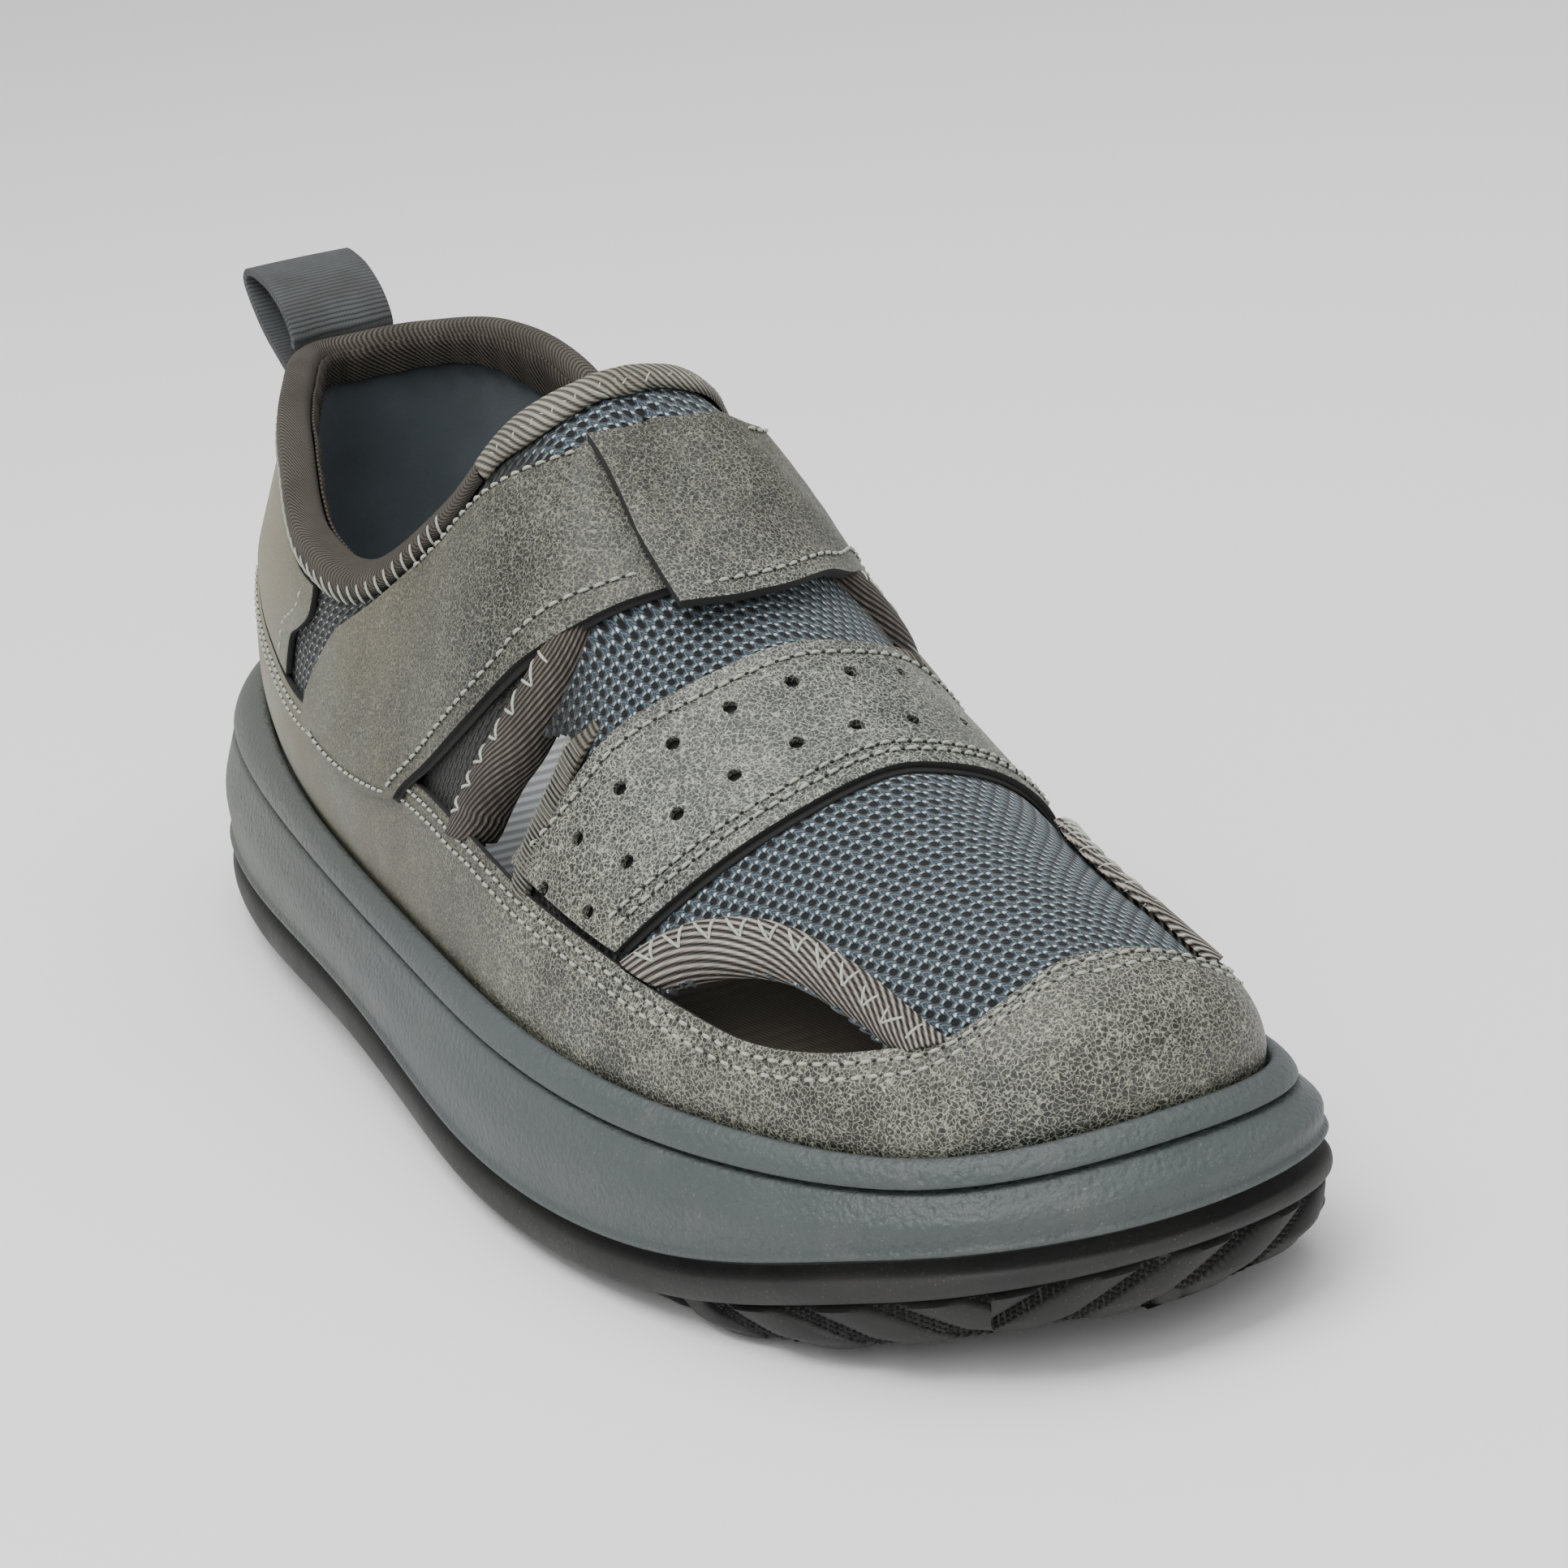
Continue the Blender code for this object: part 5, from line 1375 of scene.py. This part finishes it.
# %% [markdown]
# ## Punched holes
# The forefoot strap has two rows of round holes. Small cylinders cut them through
# the finished strap, and dark discs close them behind, where the real strap has
# its black lining.
# %% Holes in the forefoot strap
HOLES = [
    (0.666, 0.322), (0.680, 0.437), (0.692, 0.558), (0.704, 0.688), (0.714, 0.819),
    (0.723, 0.955), (0.721, 1.106), (0.706, 1.276), (0.690, 1.41), (0.666, 1.55),
    (0.706, 0.352), (0.718, 0.477), (0.730, 0.608), (0.742, 0.739), (0.752, 0.874),
    (0.761, 1.000), (0.752, 1.171), (0.723, 1.387), (0.706, 1.54)]
HOLE_RADIUS = 1.15 * MM


def tube_faces(count, rings, sides):
    """Walls and lids of closed tubes, each a stack of rings."""
    i, j = np.arange(sides), (np.arange(sides) + 1) % sides
    low, high = [np.arange(k, rings - 1 + k)[:, None] * sides for k in (0, 1)]
    wall = np.stack([low + i, low + j, high + j, high + i], -1).reshape(-1, 4)
    lids = np.stack([i[::-1], i + (rings - 1) * sides])
    base = np.arange(count)[:, None, None] * (rings * sides)
    return (wall + base).reshape(-1, 4).tolist() + (lids + base).reshape(-1, sides).tolist()


def spokes(a, b, sides):
    """Directions round a circle that is spanned by a and b."""
    turn = np.arange(sides)[:, None] * 2 * np.pi / sides
    return a[:, None] * np.cos(turn) + b[:, None] * np.sin(turn)


def drums(name, at, normals, radius, low, high, mats=(), sides=14):
    """Closed cylinders round the normals, between two heights."""
    a = np.cross(normals, [0.0, 0.0, 1.0])
    a /= np.linalg.norm(a, axis=-1, keepdims=True) + 1e-12
    flat = spokes(a, np.cross(normals, a), sides) * radius
    pts = np.stack([at[:, None] + flat + normals[:, None] * height for height in (low, high)], 1)
    return make_object(name, pts, tube_faces(len(at), 2, sides), mats, smooth=False)


share, across = np.array(HOLES).T
at = skin(param(share), across, 0.0)
n = shell_normal(param(share), across)
cutter = drums("punch", at, n, HOLE_RADIUS, -2.5 * MM, 2.5 * MM)
punch = forefoot.modifiers.new("punch", "BOOLEAN")
punch.operation, punch.solver, punch.object = "DIFFERENCE", "EXACT", cutter
bake_modifiers(forefoot)
bpy.data.objects.remove(cutter)
backing = drums("hole_backing", at, n, 1.6 * HOLE_RADIUS, -1.55 * MM, -1.3 * MM, [cut_edge])
piece(backing, "leather_grey")
print("holes punched:", len(HOLES))

# %% [markdown]
# ## Stitches
# A stitch is a short bead of thread that dives into the leather at both ends. One
# small bead, turned and stretched between two points, is repeated along a seam.
# A line of straight stitches follows an edge at a fixed distance. The bindings
# are held by slanting threads: in a V on windows and quarters, crossed on the
# tongue, side by side on the collar and on the vamp.
# %% Beads of thread
BEAD = np.array([  # place along, share of the radius, rise in radii
    (-0.5, 0.10, -0.9), (-0.44, 0.72, -0.15), (-0.22, 1.0, 0.45), (0.0, 1.0, 0.55),
    (0.22, 1.0, 0.45), (0.44, 0.72, -0.15), (0.5, 0.10, -0.9)])


def beads(name, a, b, normals, radius, slot, mat, arch=0.0, sides=6):
    """Tapered beads from a to b; they arch up and dive in at the ends."""
    s, fat, rise = BEAD.T
    length = np.linalg.norm(b - a, axis=-1, keepdims=True)
    way = (b - a) / length
    up = normals - way * np.sum(normals * way, -1, keepdims=True)
    up /= np.linalg.norm(up, axis=-1, keepdims=True)
    centre = ((a + b) / 2)[:, None] + way[:, None] * s[:, None] * length[:, None]
    centre = centre + up[:, None] * (rise * radius + arch * (1 - 4 * s ** 2))[:, None]
    spoke = spokes(np.cross(way, up), up, sides)
    pts = centre[:, :, None] + spoke[:, None] * (fat[:, None, None] * radius)
    obj = make_object(name, pts, tube_faces(len(a), len(s), sides), [mat])
    return piece(obj, slot)


def spaced(line, start, end, pitch, length):
    """Parameters where stitches start and end, evenly along the line."""
    u = np.linspace(start, end, 1200)
    run = walk(line(u, 0.0)[0][:, None], 0)[:, 0]
    at = np.arange(0.5 * pitch, run[-1] - length, pitch)
    return np.interp(at, run, u), np.interp(at + length, run, u)


def threads(lines, pitch, length, reach=0.0, signs=(1,)):
    """Stitches along lines; reach slants them across, signs sets the side."""
    found = []
    for line, start, end in lines:
        for sign in signs:
            ua, ub = spaced(line, start, end, pitch, length)
            a, n = line(ua, sign * reach)
            found.append((a, line(ub, -sign * reach)[0], n))
    return [np.concatenate(part) for part in zip(*found)]


def strap_line(table, edge, inset, lift, mirror=False, height=0.0):
    """Line on a strap at a distance from its rear edge 0 or front edge 1."""
    def line(u, off):
        w = (inset + off) / strap_width(table, u, mirror)
        w = 1 - w if edge else w
        return strap_points(table, u, w, lift + pad(w, height), mirror)
    return line


def guard_line(inset, lift):
    """Line on the mudguard at a distance below its upper edge."""
    def line(t, off):
        return on_ring(t, guard_top(t) - wall_share(inset + off, t), lift)
    return line


def tape_line(table, edge, inset, mirror=False, swell=1.0):
    """Line that lies on a rolled binding, inset from its flat edge."""
    across, rise = np.array(ROLL)[5:].T

    def line(u, off):
        w = (inset + off) / strap_width(table, u, mirror)
        lift = np.interp(1 - w, across, rise) * MM * swell
        return strap_points(table, u, 1 - w if edge else w, lift + 0.1 * MM, mirror)
    return line


# %% Sewing the panels
PROUD = 0.16 * MM
PAD = 0.5 * MM


def end_line(table, inset, depth, lift):
    """Line along the first end of a strap, from its rear edge to its front."""
    length = walk(strap_points(table, np.linspace(0, 1, 200), 0.5)[0][:, None], 0)[-1, 0]

    def line(w, off):
        u = rounded_end((inset + off) / length, w, depth)
        return strap_points(table, u, w, lift + pad(w, PAD))
    return line


SEAMS = [(guard_line(inset * MM, PROUD), 0.0, 2.0) for inset in (1.9, 4.3)]
SEAMS += [(strap_line(table, edge, inset * MM, PROUD, height=PAD), start, end)
          for table, edge, inset, start, end in (
              (FOREFOOT_STRAP, 0, 2.6, 0.03, 0.97), (FOREFOOT_STRAP, 1, 3.4, 0.03, 0.97),
              (FOREFOOT_STRAP, 1, 5.6, 0.03, 0.97), (ANKLE_STRAP, 0, 3.0, 0.50, 0.86),
              (ANKLE_STRAP, 1, 3.4, 0.05, 0.86), (CLOSURE_STRAP, 1, 3.0, 0.01, 0.97),
              (CLOSURE_STRAP, 0, 3.0, 0.42, 0.97))]
SEAMS.insert(7, (end_line(ANKLE_STRAP, 3.0 * MM, ANKLE_CORNER, PROUD), 0.10, 0.92))
STITCH_PITCH, STITCH = 2.6 * MM, 1.75 * MM
HOLE_REACH = 1.5 * MM  # two stitches share a needle hole when they are this close

starts, ends, normals = threads(SEAMS, STITCH_PITCH, STITCH)
beads("stitches_panels", starts, ends, normals, 0.29 * MM, "leather_grey", thread)
way = np.roll(starts, -1, 0) - ends
gap = np.linalg.norm(way, axis=1, keepdims=True)
near = gap[:, 0] < HOLE_REACH
down = normals[near] / np.linalg.norm(normals[near], axis=1, keepdims=True)
at = ends[near] + way[near] / 2 - down * 0.14 * MM
way = way[near] / gap[near] * 0.34 * MM
beads("needle_holes", at - way, at + way, normals[near], 0.22 * MM, "leather_grey", cut_edge)
print("straight stitches:", len(starts), "holes", int(near.sum()))


def counter_line(side, inset):
    """Line on the counter at a distance from its side edge."""
    def line(w, off):
        t, v = counter_place(side * (1 - (inset + off) / (70 * MM)), w)
        return on_ring(t, v, PROUD)
    return line


rows = threads([(counter_line(side, 2.6 * MM), 0.04, 0.96) for side in (1, -1)],
               2.5 * MM, 1.7 * MM)
beads("stitches_counter", *rows, 0.24 * MM, "leather_grey", thread)


def roll_line(inner, rim, share, lift):
    """Line along a rolled edge at a share of the way from its inner line."""
    s = np.linspace(0, 1, len(inner))

    def line(u, off):
        k = share + off
        p, q = [np.interp(u, s, values) for values in (inner + (rim - inner) * k).T]
        bulge = np.interp(k, *np.array(COLLAR_ROLL)[:6, [0, 2]].T) * MM
        return skin(p, q, lift + bulge), shell_normal(p, q)
    return line


BOTH = False, True
tapes = [(tape_line(WINDOW_BINDING, 1, 2.3 * MM, m), 0.03, 0.97) for m in BOTH]
tapes += [(tape_line(QUARTER_BINDING, 0, 1.8 * MM, m, QUARTER_SWELL), 0.04, 0.66) for m in BOTH]
overcast = roll_line(collar_inner, collar_rim, 0.14, 0.15 * MM)
fringe = [(strap_line(VAMP_BINDING, 0, 2.0 * MM, 0.25 * MM, m), 0.02, 0.62) for m in BOTH]
CROSSING = {  # lines, pitch, length along, reach, sides; radius in mm, thread, arch in mm
    "tape": ((tapes, 5.4 * MM, 2.1 * MM, 2.4 * MM), 0.27, thread, 0.6),
    "tape_back": ((tapes, 5.4 * MM, -2.1 * MM, 2.4 * MM), 0.27, thread, 0.6),
    "vamp": ((fringe, 0.8 * MM, 0.5 * MM, 2.4 * MM), 0.17, thread_dull, 0.2),
    "tongue": (([(roll_line(tongue_inner, tongue_rim, 0.16, 0.15 * MM), 0.03, 0.97)],
                4.2 * MM, 2.6 * MM, 0.16, (1, -1)), 0.17, thread, 0.0),
    "collar": (([(overcast, 0.02, 0.34), (overcast, 0.66, 0.98)],
                3.0 * MM, 0.5 * MM, 0.34), 0.24, thread, 0.25)}
for name, (how, radius, mat, arch) in CROSSING.items():
    rows = threads(*how)
    beads("stitches_" + name, *rows, radius * MM, "binding_brown", mat, arch * MM)
    print("stitches on the", name, len(rows[0]))

# %% [markdown]
# ## Studio
# The camera stands where the photograph was taken from: in front of the shoe, on
# its outer side, a little above. Its place, turn and lens were fitted to the
# outline of the sole. The floor is pale, and large soft lights stand overhead.
# %% Camera, floor and light
CAMERA_AT = (0.257169, 0.688706, 0.284703)
RIGHT = np.array([-0.88665, 0.45043, -0.10473])
DOWN = np.array([0.24476, 0.26492, -0.93269])
AHEAD = np.array([-0.39237, -0.85260, -0.34514])
PHOTO_SIDE = 1932
FOCAL_PIXELS = 5236.7
SENSOR = 36.0


def stand(right, up, back, at):
    """Matrix of an object from its three directions and its place."""
    return Matrix([[right[i], up[i], back[i], at[i]] for i in range(3)] + [[0, 0, 0, 1]])


camera = place_object("camera", bpy.data.cameras.new("camera"))
camera.matrix_world = stand(RIGHT, -DOWN, -AHEAD, CAMERA_AT)
camera.data.sensor_width = SENSOR
camera.data.lens = FOCAL_PIXELS / PHOTO_SIDE * SENSOR
camera.data.clip_start = 0.01
bpy.context.scene.camera = camera

floor_pale = finish("floor_pale", lambda g, place, uv: ((0.94, 0.94, 0.94, 1.0), 0.9, None))
floor = make_object("floor", [(-4, -4, 0), (4, -4, 0), (4, 4, 0), (-4, 4, 0)], [(0, 1, 2, 3)],
                    [floor_pale], smooth=False)


def soft_light(name, at, target, size, power):
    """Square area light that looks at a point."""
    light = bpy.data.lights.new(name, "AREA")
    light.size, light.energy = size, power
    way = np.array(target) - np.array(at)
    way = way / np.linalg.norm(way)
    side = np.cross(way, [0.0, 0.01, 1.0])
    side = side / np.linalg.norm(side)
    place_object(name, light).matrix_world = stand(side, np.cross(side, way), -way, at)


world = bpy.data.worlds.new("studio")
bpy.context.scene.world = world
world.use_nodes = True
sky = world.node_tree.nodes["Background"].inputs
sky["Color"].default_value = (1.0, 1.0, 1.0, 1.0)
sky["Strength"].default_value = 0.62
soft_light("key", (0.50, 0.22, 1.25), (0.0, 0.08, 0.05), 0.75, 14.0)
soft_light("overhead", (-0.25, -0.05, 1.5), (0.0, 0.08, 0.05), 1.1, 10.0)
soft_light("fill", (0.6, 1.1, 0.9), (0.0, 0.1, 0.05), 0.9, 5.0)
